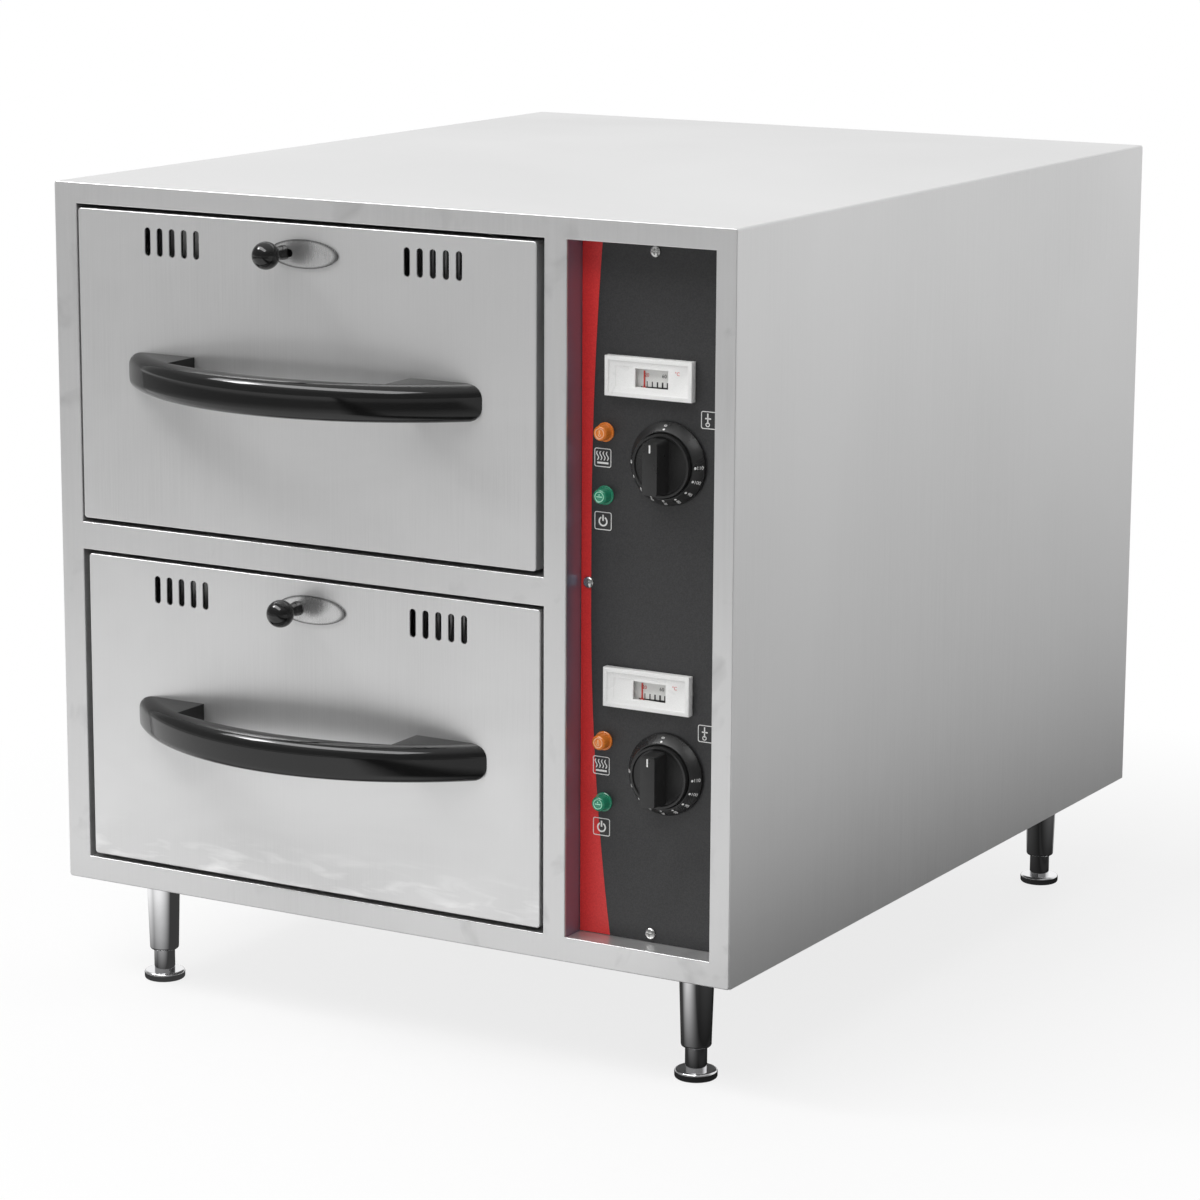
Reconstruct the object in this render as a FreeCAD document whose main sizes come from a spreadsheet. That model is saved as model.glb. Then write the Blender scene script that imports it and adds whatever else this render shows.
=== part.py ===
import FreeCAD, Part
import Sketcher
import math
import os
import re

# Countertop warming drawer: a stainless cabinet on four adjustable legs, with two heated
# drawers on telescopic slides and a recessed control panel beside them.
# Millimetres. +X is to the right, +Y to the back, +Z up. The origin lies on the floor,
# under the middle of the overall footprint.

doc = FreeCAD.newDocument("warming_drawer")
sizes = doc.addObject("Spreadsheet::Sheet", "sizes")

DIMENSIONS = (
    # cabinet
    ("sheet", 1.5, "outer sheet steel"),
    ("liner_sheet", 1.0, "sheet steel of the liners and the partition"),
    ("left_stile", 19, "front frame left of the drawers"),
    ("drawer_opening_width", 386, "clear width of a drawer opening"),
    ("centre_stile", 17.5, "front frame between drawers and controls"),
    ("control_opening_width", 112, "clear width of the control opening"),
    ("right_stile", 15.5, "front frame right of the controls"),
    ("bottom_rail", 17.5, "front frame under the lower drawer"),
    ("opening_height", 229, "clear height of a drawer opening"),
    ("middle_rail", 20, "front frame between the drawers"),
    ("top_rail", 15, "front frame above the upper drawer"),
    ("body_depth", 670, "front frame to rear panel, overall"),
    ("cavity_rear_gap", 60, "rear wall of a drawer cavity to the rear of the body"),
    ("frame_return", 12, "flange folded back round the front frame"),
    ("rear_flange", 14, "flange that the rear panel is screwed to"),
    ("edge_round", 0.8, "rounding of visible sheet edges"),
    ("corner_round", 2, "bend radius of the shell's long edges"),
    ("lay", 0.3, "clearance between pieces that lie side by side"),
    ("insulation_back", 25, "insulation behind the cavities"),
    ("stud_clearance", 7, "free space round a leg stud inside the insulation"),
    # control bay
    ("control_recess", 20, "front face to the face of the control panel"),
    ("overlay_film", 0.4, "printed film on the control panel"),
    ("panel_sheet", 1.5, "control panel sheet"),
    ("panel_lip", 12, "flange behind the edge of the control panel"),
    ("panel_screw_inset", 6.3, "control panel screw to the edge of the opening"),
    ("side_screw_rise", 5.8, "side screws above the middle of the control panel"),
    ("module_pitch", 212, "upper set of controls above the lower set"),
    ("knob_height", 119.5, "lower thermostat axis above the sill"),
    ("knob_offset", 11.5, "thermostat axis right of the middle of the panel"),
    ("lamp_offset", 37.2, "lamp axis left of the middle of the panel"),
    ("heat_lamp_rise", 17, "heating lamp above the thermostat axis"),
    ("power_lamp_drop", 25.8, "power lamp below the thermostat axis"),
    ("thermometer_offset", 2.2, "thermometer left of the middle of the panel"),
    ("thermometer_rise", 56.2, "thermometer above the thermostat axis"),
    # thermostat
    ("thermostat_width", 42, "thermostat case"),
    ("thermostat_height", 34, "thermostat case"),
    ("thermostat_depth", 26, "thermostat case"),
    ("blade_terminal_width", 6.3, "thermostat terminals"),
    ("blade_terminal_sheet", 0.8, "thermostat terminals"),
    ("blade_terminal_length", 9, "thermostat terminals"),
    ("bush_radius", 4.6, "threaded bush through the panel"),
    ("bush_reach", 4, "bush in front of the panel"),
    ("bush_hole_clearance", 0.4, "panel hole round a bush"),
    ("shaft_radius", 3, "thermostat shaft"),
    ("shaft_clearance", 0.06, "running clearance of the shaft"),
    ("shaft_reach", 16, "shaft in front of the panel"),
    ("shaft_depth", 10, "shaft inside the thermostat case"),
    ("knob_gap", 0.8, "knob clear of the panel"),
    ("knob_skirt_radius", 28.2, "knob skirt, at the panel"),
    ("knob_skirt_edge", 1.6, "thickness of the skirt's rim"),
    ("knob_neck_radius", 23, "front end of the sloping skirt"),
    ("knob_neck_reach", 9, "skirt's front end to the panel"),
    ("knob_cap_radius", 21.3, "disc that carries the grip"),
    ("knob_cap_reach", 12.5, "rim of the disc to the panel"),
    ("knob_rim", 1.8, "rim of the disc"),
    ("knob_well_depth", 1.2, "disc's face behind its rim"),
    ("knob_blade_width", 12, "grip across the disc"),
    ("knob_blade_reach", 14.3, "grip in front of the disc's rim"),
    # thermometer
    ("bezel_width", 66, "thermometer face"),
    ("bezel_height", 27, "thermometer face"),
    ("bezel_reach", 5.5, "thermometer face in front of the panel"),
    ("bezel_border", 3, "raised border of the face"),
    ("bezel_step", 0.5, "height of the raised border"),
    ("bezel_wall", 1.4, "wall of the thermometer"),
    ("case_inset", 3, "case behind the face, inside its edge"),
    ("case_depth", 14, "case behind the panel's face"),
    ("window_width", 25, "window in the face"),
    ("window_height", 12.5, "window in the face"),
    ("window_offset", 2.5, "window right of the middle of the face"),
    ("dial_sheet", 0.8, "scale plate"),
    ("pointer_sheet", 0.5, "pointer"),
    ("pointer_width", 0.9, "pointer"),
    ("pointer_length", 12, "pointer, from its pivot"),
    ("pointer_hub_radius", 1.6, "pointer hub"),
    ("pointer_offset", -5.3, "pointer pivot rightwards from the middle of the face"),
    ("pointer_drop", 7.4, "pointer pivot below the middle of the face"),
    ("pointer_gap", 0.4, "pointer clear of the scale plate"),
    ("pivot_radius", 0.7, "pointer pivot pin"),
    # lamps
    ("lamp_radius", 5.3, "lens"),
    ("lamp_flange_radius", 6.6, "flange on the panel"),
    ("lamp_flange_sheet", 1.3, "flange thickness"),
    ("lamp_reach", 8.5, "lens in front of the panel"),
    ("lamp_dome", 1.4, "rounding of the lens"),
    ("lamp_barrel_radius", 4.6, "barrel through the panel"),
    ("lamp_depth", 22, "barrel behind the panel's face"),
    # drawer front
    ("front_side_gaps", 7.4, "both side gaps of a drawer front together"),
    ("front_top_gap", 2.8, "drawer front below the top of its opening"),
    ("front_gap", 3.2, "drawer front above the sill"),
    ("front_depth", 22, "thickness of the drawer front"),
    ("front_sheet", 1.2, "skin of the drawer front"),
    ("front_corner", 2.5, "corner radius of the drawer front"),
    ("upper_front_shift", 2.2, "upper front hangs this far to the left"),
    ("lower_front_shift", 1.2, "lower front hangs this far to the right"),
    # vent
    ("vent_offset", 108, "middle of a slot group to the middle of the drawer"),
    ("vent_pitch", 10.4, "slot to slot"),
    ("vent_count", 5, "slots in a group"),
    ("vent_width", 5, "slot"),
    ("vent_length", 20, "slot"),
    ("vent_drop", 20.4, "middle of the slots below the top of the drawer front"),
    ("shutter_gap", 0.3, "shutter behind the skin"),
    ("shutter_sheet", 1, "shutter"),
    ("shutter_height", 28, "shutter"),
    ("shutter_end", 12, "shutter past its last slot"),
    ("shutter_travel", 5.2, "open to closed"),
    ("ball_offset", 13, "vent knob left of the middle of the drawer, at its left stop"),
    ("ball_radius", 9.75, "ball of the vent knob"),
    ("ball_reach", 22, "middle of the ball in front of the drawer"),
    ("neck_radius", 5.2, "neck of the vent knob at the ball"),
    ("neck_foot_radius", 3.6, "neck of the vent knob at the plate"),
    ("stem_radius", 2.5, "stem through the skin"),
    ("stem_clearance", 0.4, "slot round the stem"),
    ("plate_length", 56, "oval plate behind the vent knob"),
    ("plate_width", 20, "oval plate"),
    ("plate_sheet", 1.5, "oval plate"),
    ("plate_offset", 3.8, "oval plate right of the middle of the drawer"),
    # handle
    ("handle_length", 294, "handle, end to end"),
    ("handle_reach", 62, "handle in front of the drawer"),
    ("handle_height", 26, "handle"),
    ("handle_bar", 14, "thickness of the bow at its middle"),
    ("handle_foot", 57, "length of a foot on the drawer"),
    ("handle_foot_reach", 32, "bow in front of the inner end of a foot"),
    ("handle_level", 114, "middle of the handle above the sill"),
    ("handle_round", 3, "rounding of the handle's edges"),
    ("handle_bolt_spacing", 238, "handle screws"),
    ("bolt_radius", 2.5, "handle screw"),
    ("bolt_length", 14, "handle screw in the handle"),
    ("bolt_head_radius", 4.5, "handle screw head"),
    ("bolt_head", 3, "handle screw head"),
    ("bolt_clearance", 0.2, "hole round a handle screw"),
    # drawer box, pan and slides
    ("box_rear_gap", 27, "drawer box in front of the cavity's rear wall"),
    ("box_bottom", 60, "drawer box above the sill"),
    ("box_height", 136, "sides of the drawer box"),
    ("box_sheet", 1.2, "sheet of the drawer box"),
    ("pan_side_margin", 17.5, "pan rim inside the side of the drawer box"),
    ("pan_end_margin", 15, "pan rim inside the end of the drawer box"),
    ("pan_lip", 10, "pan rim outside the pan's walls"),
    ("pan_depth", 150, "pan"),
    ("pan_sheet", 1, "pan"),
    ("pan_corner", 28, "upright corners of the pan"),
    ("pan_clearance", 1.5, "pan clear of the ledge it hangs in"),
    ("rail_width", 13, "telescopic slide, overall"),
    ("rail_height", 36, "telescopic slide, overall"),
    ("rail_sheet", 1.2, "slide members"),
    ("rail_gap", 0.4, "slide member to slide member, the ball track"),
    ("rail_rear_gap", 36, "slide members in front of the cavity's rear wall"),
    ("rail_level", 128, "middle of the slides above the sill"),
    ("rail_start", 24, "front end of the slides behind the front face"),
    # heating
    ("heater_radius", 4, "tubular heater"),
    ("heater_level", 22, "heater above the cavity floor"),
    ("heater_pitch", 82, "heater run to heater run"),
    ("heater_front", 90, "front bends of the heater behind the front face"),
    ("heater_rear_gap", 50, "rear bend of the heater in front of the cavity's rear wall"),
    ("heater_tail", 18, "heater ends behind the cavity's rear wall"),
    ("heater_hole_clearance", 0.5, "hole round a heater end"),
    ("support_foot", 12, "foot of a heater support"),
    ("support_overhang", 20, "heater support past the outer runs"),
    ("bulb_radius", 3, "sensing bulb"),
    ("bulb_length", 80, "sensing bulb"),
    ("bulb_level", 60, "sensing bulb above the cavity floor"),
    ("bulb_back", 0.5, "sensing bulb in front of the rear wall"),
    ("capillary_radius", 1, "capillary tube"),
    ("capillary_bend", 30, "bend of the capillary tube"),
    ("capillary_hole_radius", 2.5, "holes for the capillary tube"),
    # services and legs
    ("block_length", 60, "terminal block"),
    ("block_width", 24, "terminal block"),
    ("block_height", 20, "terminal block"),
    ("block_well", 4, "screw wells of the terminal block"),
    ("block_back", 90, "terminal block in front of the rear panel"),
    ("gland_radius", 13, "cable gland outside the rear panel"),
    ("gland_bore", 5, "cable gland bore"),
    ("gland_thread", 8, "cable gland through the rear panel"),
    ("gland_reach", 14, "cable gland behind the rear panel"),
    ("gland_nut", 5, "cable gland nut inside"),
    ("gland_level", 45, "cable gland above the base"),
    ("screw_radius", 2, "panel screws"),
    ("screw_head_radius", 4, "panel screw heads"),
    ("screw_head_height", 2.2, "panel screw heads"),
    ("screw_slot_width", 1.4, "arms of the cross recess"),
    ("screw_slot_depth", 1.4, "cross recess"),
    ("screw_tail", 1.5, "screw past the flange that holds it"),
    ("screw_clearance", 0.15, "hole round a panel screw"),
    ("louvre_length", 60, "rear louvre slots"),
    ("louvre_width", 5, "rear louvre slots"),
    ("louvre_pitch", 12, "rear louvre slots"),
    ("louvre_count", 8, "rear louvre slots"),
    ("louvre_level", 360, "lowest louvre slot above the base"),
    ("leg_height", 82.5, "floor to the underside of the body"),
    ("leg_inset_x", 50, "leg axis to the side of the body"),
    ("leg_inset_y", 47, "leg axis to the front or rear of the body"),
    ("leg_top_radius", 12.5, "leg, at the body"),
    ("leg_bottom_radius", 10.7, "leg, at its lower end"),
    ("leg_end_height", 22.5, "lower end of the leg above the floor"),
    ("leg_end_round", 2, "rounded lower end of the leg"),
    ("leg_bore_radius", 8, "bore of the leg"),
    ("leg_cap", 6, "solid top of the leg"),
    ("stud_radius", 5, "stud on top of the leg"),
    ("stud_length", 9, "stud above the underside of the body"),
    ("foot_radius", 15, "disc foot"),
    ("foot_height", 6.5, "disc foot"),
    ("foot_round", 2, "rounding of the disc foot"),
    ("foot_clearance", 0.3, "neck of the foot inside the leg"),
    ("foot_thread", 30, "neck of the foot inside the leg, its length"),
)

for row, (alias, number, meaning) in enumerate(DIMENSIONS, start=1):
    sizes.set(f"A{row}", meaning)
    sizes.set(f"B{row}", str(number))
    sizes.setAlias(f"B{row}", alias)
doc.recompute()

ALIASES = {alias for alias, _, _ in DIMENSIONS}

# Sizes worked out from the sheet. Each is an expression in the sheet's aliases.
BODY_WIDTH = "(left_stile + drawer_opening_width + centre_stile + control_opening_width + right_stile)"
BODY_HEIGHT = "(bottom_rail + 2 * opening_height + middle_rail + top_rail)"
FRONT_Y = "((handle_reach - body_depth - gland_reach) / 2)"
CORNER = (f"-{BODY_WIDTH} / 2", FRONT_Y, "leg_height")
SILL = {"lower": "bottom_rail", "upper": "(bottom_rail + opening_height + middle_rail)"}
SHIFT = {"lower": "lower_front_shift", "upper": "-upper_front_shift"}
CONTROL_X = "(left_stile + drawer_opening_width + centre_stile)"
CONTROL_MIDDLE = f"({CONTROL_X} + control_opening_width / 2)"
CONTROL_HEIGHT = "(2 * opening_height + middle_rail)"
PANEL_BACK = "(control_recess + overlay_film + panel_sheet)"
REVEAL_END = f"({PANEL_BACK} + sheet)"
KNOB_X = f"({CONTROL_MIDDLE} + knob_offset)"
KNOB_Z = {
    "lower": "(bottom_rail + knob_height)",
    "upper": "(bottom_rail + knob_height + module_pitch)",
}
LAMP_X = f"({CONTROL_MIDDLE} - lamp_offset)"
THERMOMETER_X = f"({CONTROL_MIDDLE} - thermometer_offset)"
CAVITY_DEPTH = "(body_depth - cavity_rear_gap)"
FRONT_WIDTH = "(drawer_opening_width - front_side_gaps)"
FRONT_HEIGHT = "(opening_height - front_gap - front_top_gap)"
FRONT_BACK = "(front_depth + liner_sheet)"
VENT_HEIGHT = f"(front_gap + {FRONT_HEIGHT} - vent_drop)"
BALL_X = {"lower": "(shutter_travel - ball_offset)", "upper": "(-ball_offset)"}
BOX_HALF = "(drawer_opening_width / 2 - rail_width)"
BOX_LENGTH = f"({CAVITY_DEPTH} - box_rear_gap - {FRONT_BACK})"
PAN_MIDDLE = f"({FRONT_BACK} + {BOX_LENGTH} / 2)"
PAN_WIDTH = f"(2 * {BOX_HALF} - 2 * pan_side_margin)"
PAN_LENGTH = f"({BOX_LENGTH} - 2 * pan_end_margin)"
BULB_Y = f"({CAVITY_DEPTH} - bulb_back - bulb_radius)"
HEATER_REAR = f"({CAVITY_DEPTH} - heater_rear_gap)"
HEATER_X = "(drawer_opening_width / 2 - 1.5 * heater_pitch)"
LEG_X = {"left": "leg_inset_x", "right": f"({BODY_WIDTH} - leg_inset_x)"}
LEG_Y = {"front": "leg_inset_y", "rear": "(body_depth - leg_inset_y)"}
REAR_SCREW_X = ("sheet + rear_flange / 2", f"{BODY_WIDTH} / 2", f"{BODY_WIDTH} - sheet - rear_flange / 2")
REAR_SCREW_Z = ("sheet + rear_flange / 2", f"{BODY_HEIGHT} / 2", f"{BODY_HEIGHT} - sheet - rear_flange / 2")
LEVELS = ("lower", "upper")


def full(expression):
    """The expression with the sheet's name before each alias."""
    return re.sub(
        r"[a-z][a-z0-9_]*",
        lambda word: f"sizes.{word.group()}" if word.group() in ALIASES else word.group(),
        str(expression),
    )


def value(expression):
    return float(sizes.evalExpression(full(expression)))


def bind(target, path, expression):
    target.setExpression(path, full(expression))


def place(target, position):
    for axis, expression in zip("xyz", position):
        bind(target, f"Placement.Base.{axis}", expression)


def moved(position, x=0, y=0, z=0):
    """A position that lies x, y, z away from another."""
    return tuple(f"{start} + {step}" for start, step in zip(position, (x, y, z)))


# Outlines: each function returns one that draws its shape in a sketch.


def fix_point(sketch, geometry, point, x, y):
    """Holds a sketch point at x, y, and on the axis where that is 0."""
    if str(x) == "0":
        sketch.addConstraint(Sketcher.Constraint("PointOnObject", geometry, point, -2))
    else:
        across = sketch.addConstraint(Sketcher.Constraint("DistanceX", -1, 1, geometry, point, value(x)))
        bind(sketch, f"Constraints[{across}]", x)
    if str(y) == "0":
        sketch.addConstraint(Sketcher.Constraint("PointOnObject", geometry, point, -1))
    else:
        up = sketch.addConstraint(Sketcher.Constraint("DistanceY", -1, 1, geometry, point, value(y)))
        bind(sketch, f"Constraints[{up}]", y)


def fix_radius(sketch, geometry, radius):
    number = sketch.addConstraint(Sketcher.Constraint("Radius", geometry, value(radius)))
    bind(sketch, f"Constraints[{number}]", radius)


def arc_between(start, end, radius):
    """The shorter arc from start to end: a positive radius turns it anticlockwise."""
    middle = (start + end) * 0.5
    chord = end - start
    rise = math.sqrt(max(radius * radius - chord.Length ** 2 / 4, 0))
    side = FreeCAD.Vector(-chord.y, chord.x, 0).normalize()
    centre = middle + side * math.copysign(rise, radius)
    first, last = (start, end) if radius > 0 else (end, start)
    angles = [math.atan2(point.y - centre.y, point.x - centre.x) for point in (first, last)]
    circle = Part.Circle(centre, FreeCAD.Vector(0, 0, 1), abs(radius))
    return Part.ArcOfCircle(circle, angles[0], angles[1])


def outline(*points):
    """A closed outline. A point with a third value is reached by an arc of that radius."""

    def draw(sketch):
        places = [FreeCAD.Vector(value(point[0]), value(point[1]), 0) for point in points]
        edges = []
        for index, point in enumerate(points):
            if len(point) == 3:
                turn_left = value(point[2]) > 0
                arc = arc_between(places[index - 1], places[index], value(point[2]))
                edges.append((sketch.addGeometry(arc, False), 1 if turn_left else 2, 2 if turn_left else 1))
                size = point[2] if turn_left else f"-({point[2]})"
                fix_radius(sketch, edges[-1][0], size)
            else:
                line = Part.LineSegment(places[index - 1], places[index])
                edges.append((sketch.addGeometry(line, False), 1, 2))
        for index, (geometry, begin, _) in enumerate(edges):
            before, _, finish = edges[index - 1]
            sketch.addConstraint(Sketcher.Constraint("Coincident", before, finish, geometry, begin))
        for (geometry, _, finish), point in zip(edges, points):
            fix_point(sketch, geometry, finish, point[0], point[1])

    return draw


def rectangle(x, y, width, height):
    right = f"({x}) + ({width})"
    top = f"({y}) + ({height})"
    return outline((x, y), (right, y), (right, top), (x, top))


def centred_rectangle(width, height, x=0, y=0):
    return rectangle(f"({x}) - ({width}) / 2", f"({y}) - ({height}) / 2", width, height)


def circle(x, y, radius):
    def draw(sketch):
        centre = FreeCAD.Vector(value(x), value(y), 0)
        round_edge = Part.Circle(centre, FreeCAD.Vector(0, 0, 1), value(radius))
        geometry = sketch.addGeometry(round_edge, False)
        fix_point(sketch, geometry, 3, x, y)
        fix_radius(sketch, geometry, radius)

    return draw


def slot(x, y, width, height):
    """A round-ended slot about x, y, upright or lying, whichever way it is longer."""
    upright = value(height) > value(width)
    short, long = (width, height) if upright else (height, width)
    reach = f"(({long}) - ({short})) / 2"
    radius = f"({short}) / 2"

    def draw(sketch):
        ends = []
        for sign, start in ((1, 0 if upright else -math.pi / 2), (-1, math.pi if upright else math.pi / 2)):
            shift = f"{sign} * {reach}"
            centre = (x, f"({y}) + {shift}") if upright else (f"({x}) + {shift}", y)
            middle = FreeCAD.Vector(value(centre[0]), value(centre[1]), 0)
            half = Part.ArcOfCircle(
                Part.Circle(middle, FreeCAD.Vector(0, 0, 1), value(radius)), start, start + math.pi
            )
            geometry = sketch.addGeometry(half, False)
            fix_point(sketch, geometry, 3, *centre)
            ends.append((geometry, half))
        (first, first_arc), (second, second_arc) = ends
        for begin, begin_arc, end, end_arc in (
            (first, first_arc, second, second_arc),
            (second, second_arc, first, first_arc),
        ):
            side = sketch.addGeometry(Part.LineSegment(begin_arc.EndPoint, end_arc.StartPoint), False)
            sketch.addConstraint(Sketcher.Constraint("Tangent", begin, 2, side, 1))
            sketch.addConstraint(Sketcher.Constraint("Tangent", side, 2, end, 1))
        sketch.addConstraint(Sketcher.Constraint("Equal", first, second))
        fix_radius(sketch, first, radius)

    return draw


def rounded_rectangle(x, y, width, height, radius):
    right = f"({x}) + ({width})"
    top = f"({y}) + ({height})"
    return outline(
        (f"({x}) + ({radius})", y, radius),
        (f"{right} - ({radius})", y),
        (right, f"({y}) + ({radius})", radius),
        (right, f"{top} - ({radius})"),
        (f"{right} - ({radius})", top, radius),
        (f"({x}) + ({radius})", top),
        (x, f"{top} - ({radius})", radius),
        (x, f"({y}) + ({radius})"),
    )


# Features: each grows or cuts from "start" towards the plane's positive axis.


def new_body(label, position):
    body = doc.addObject("PartDesign::Body", "Body")
    body.Label = label
    place(body, position)
    return body


def origin_feature(body, role):
    return next(feature for feature in body.Origin.OriginFeatures if feature.Role == role)


def sketch_on(body, plane, start, outlines):
    sketch = body.newObject("Sketcher::SketchObject", "Outline")
    sketch.AttachmentSupport = (origin_feature(body, plane), [""])
    sketch.MapMode = "FlatFace"
    sign = "-" if plane == "XZ_Plane" else ""
    bind(sketch, "AttachmentOffset.Base.z", f"{sign}({start})")
    for draw in outlines:
        draw(sketch)
    return sketch


def pad(body, plane, start, length, *outlines):
    feature_sketch = sketch_on(body, plane, start, outlines)
    feature = body.newObject("PartDesign::Pad", "Pad")
    feature.Profile = feature_sketch
    feature.Reversed = plane == "XZ_Plane"
    bind(feature, "Length", length)
    return feature


def cut(body, plane, start, length, *outlines):
    feature_sketch = sketch_on(body, plane, start, outlines)
    feature = body.newObject("PartDesign::Pocket", "Pocket")
    feature.Profile = feature_sketch
    feature.Reversed = plane != "XZ_Plane"
    bind(feature, "Length", length)
    return feature


def turn(body, plane, *points):
    """A turned shape about the plane's upright axis. Each point is a radius and a height."""
    feature_sketch = sketch_on(body, plane, 0, [outline(*points)])
    feature = body.newObject("PartDesign::Revolution", "Revolution")
    feature.Profile = feature_sketch
    feature.ReferenceAxis = (feature_sketch, ["V_Axis"])
    feature.Angle = 360
    return feature


def repeat(body, feature, axis, length, count):
    """Copies a feature along an axis of the body. length is from the first to the last."""
    doc.recompute()
    pattern = body.newObject("PartDesign::LinearPattern", "LinearPattern")
    pattern.Originals = [feature]
    pattern.Direction = (origin_feature(body, axis), [""])
    bind(pattern, "Length", length)
    bind(pattern, "Occurrences", count)
    body.Tip = pattern
    return pattern


def round_edges(body, radius, chosen):
    """Fillets the edges of the body for which chosen(edge) is true."""
    doc.recompute()
    base = body.Tip
    names = [f"Edge{number}" for number, edge in enumerate(base.Shape.Edges, start=1) if chosen(edge)]
    feature = body.newObject("PartDesign::Fillet", "Fillet")
    feature.Base = (base, names)
    bind(feature, "Radius", radius)
    return feature


def near(first, second):
    return abs(first - second) < 1e-4


def group(label, members):
    compound = doc.addObject("Part::Compound", "Group")
    compound.Links = members
    compound.Label = label
    return compound


# Cabinet


def rear_screw_places():
    """The rear panel's screws, as x and z of the cabinet: eight round its edge."""
    middle = (REAR_SCREW_X[1], REAR_SCREW_Z[1])
    return [(x, z) for x in REAR_SCREW_X for z in REAR_SCREW_Z if (x, z) != middle]


def in_shell(x, z):
    """True for a rear screw in the shell's flange, and false for the one in the base's."""
    return (x, z) != (REAR_SCREW_X[1], REAR_SCREW_Z[0])


def outer_shell():
    body = new_body("outer_shell", CORNER)
    pad(
        body, "XZ_Plane", "sheet", "body_depth - sheet",
        outline(
            (0, 0), (0, BODY_HEIGHT), (BODY_WIDTH, BODY_HEIGHT), (BODY_WIDTH, 0),
            (f"{BODY_WIDTH} - sheet", 0), (f"{BODY_WIDTH} - sheet", f"{BODY_HEIGHT} - sheet"),
            ("sheet", f"{BODY_HEIGHT} - sheet"), ("sheet", 0),
        ),
    )
    inner = "(sheet + rear_flange)"
    pad(
        body, "XZ_Plane", "body_depth - 2 * sheet", "sheet",
        outline(
            ("sheet / 2", "sheet"), ("sheet / 2", f"{BODY_HEIGHT} - sheet / 2"),
            (f"{BODY_WIDTH} - sheet / 2", f"{BODY_HEIGHT} - sheet / 2"),
            (f"{BODY_WIDTH} - sheet / 2", "sheet"),
            (f"{BODY_WIDTH} - {inner}", "sheet"), (f"{BODY_WIDTH} - {inner}", f"{BODY_HEIGHT} - {inner}"),
            (inner, f"{BODY_HEIGHT} - {inner}"), (inner, "sheet"),
        ),
    )
    places = [(x, z) for x, z in rear_screw_places() if in_shell(x, z)]
    holes = [circle(x, z, "screw_radius + screw_clearance") for x, z in places]
    cut(body, "XZ_Plane", "body_depth - 2 * sheet", "sheet", *holes)
    top = value(BODY_HEIGHT)
    sides = (0, value(BODY_WIDTH))
    round_edges(
        body, "corner_round",
        lambda edge: edge.BoundBox.YLength > value("body_depth") / 2
        and near(edge.BoundBox.ZMax, top)
        and any(near(edge.BoundBox.XMin, side) for side in sides)
        and near(edge.BoundBox.ZLength, 0),
    )


def front_openings():
    drawers = [
        rectangle("left_stile", SILL[level], "drawer_opening_width", "opening_height") for level in LEVELS
    ]
    return drawers + [rectangle(CONTROL_X, "bottom_rail", "control_opening_width", CONTROL_HEIGHT)]


def panel_screw_places():
    """The control panel's screws, as x and z in the cabinet's front."""
    middle_z = f"bottom_rail + {CONTROL_HEIGHT} / 2 + side_screw_rise"
    return (
        (CONTROL_MIDDLE, "bottom_rail + panel_screw_inset"),
        (CONTROL_MIDDLE, f"bottom_rail + {CONTROL_HEIGHT} - panel_screw_inset"),
        (f"{CONTROL_X} + panel_screw_inset", middle_z),
        (f"{CONTROL_X} + control_opening_width - panel_screw_inset", middle_z),
    )


def front_frame():
    body = new_body("front_frame", CORNER)
    pad(
        body, "XZ_Plane", 0, "sheet",
        rounded_rectangle(0, 0, BODY_WIDTH, BODY_HEIGHT, "corner_round"), *front_openings(),
    )
    pad(
        body, "XZ_Plane", "sheet", "frame_return",
        rectangle("sheet", "sheet", f"{BODY_WIDTH} - 2 * sheet", f"{BODY_HEIGHT} - 2 * sheet"),
        rectangle("2 * sheet", "2 * sheet", f"{BODY_WIDTH} - 4 * sheet", f"{BODY_HEIGHT} - 4 * sheet"),
    )
    opening = rectangle(CONTROL_X, "bottom_rail", "control_opening_width", CONTROL_HEIGHT)
    reveal = rectangle(
        f"{CONTROL_X} - sheet", "bottom_rail - sheet",
        "control_opening_width + 2 * sheet", f"{CONTROL_HEIGHT} + 2 * sheet",
    )
    pad(body, "XZ_Plane", "sheet", f"{REVEAL_END} - sheet", reveal, opening)
    lip_hole = rectangle(
        f"{CONTROL_X} + panel_lip", "bottom_rail + panel_lip",
        "control_opening_width - 2 * panel_lip", f"{CONTROL_HEIGHT} - 2 * panel_lip",
    )
    pad(body, "XZ_Plane", PANEL_BACK, "sheet", reveal, lip_hole)
    holes = [circle(x, z, "screw_radius + screw_clearance") for x, z in panel_screw_places()]
    cut(body, "XZ_Plane", PANEL_BACK, "sheet", *holes)
    round_edges(
        body, "edge_round",
        lambda edge: near(edge.BoundBox.YMax, 0) and edge.Length > value("corner_round") * 0.5,
    )


def leg_holes(radius):
    return [circle(x, y, radius) for x in LEG_X.values() for y in LEG_Y.values()]


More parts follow.
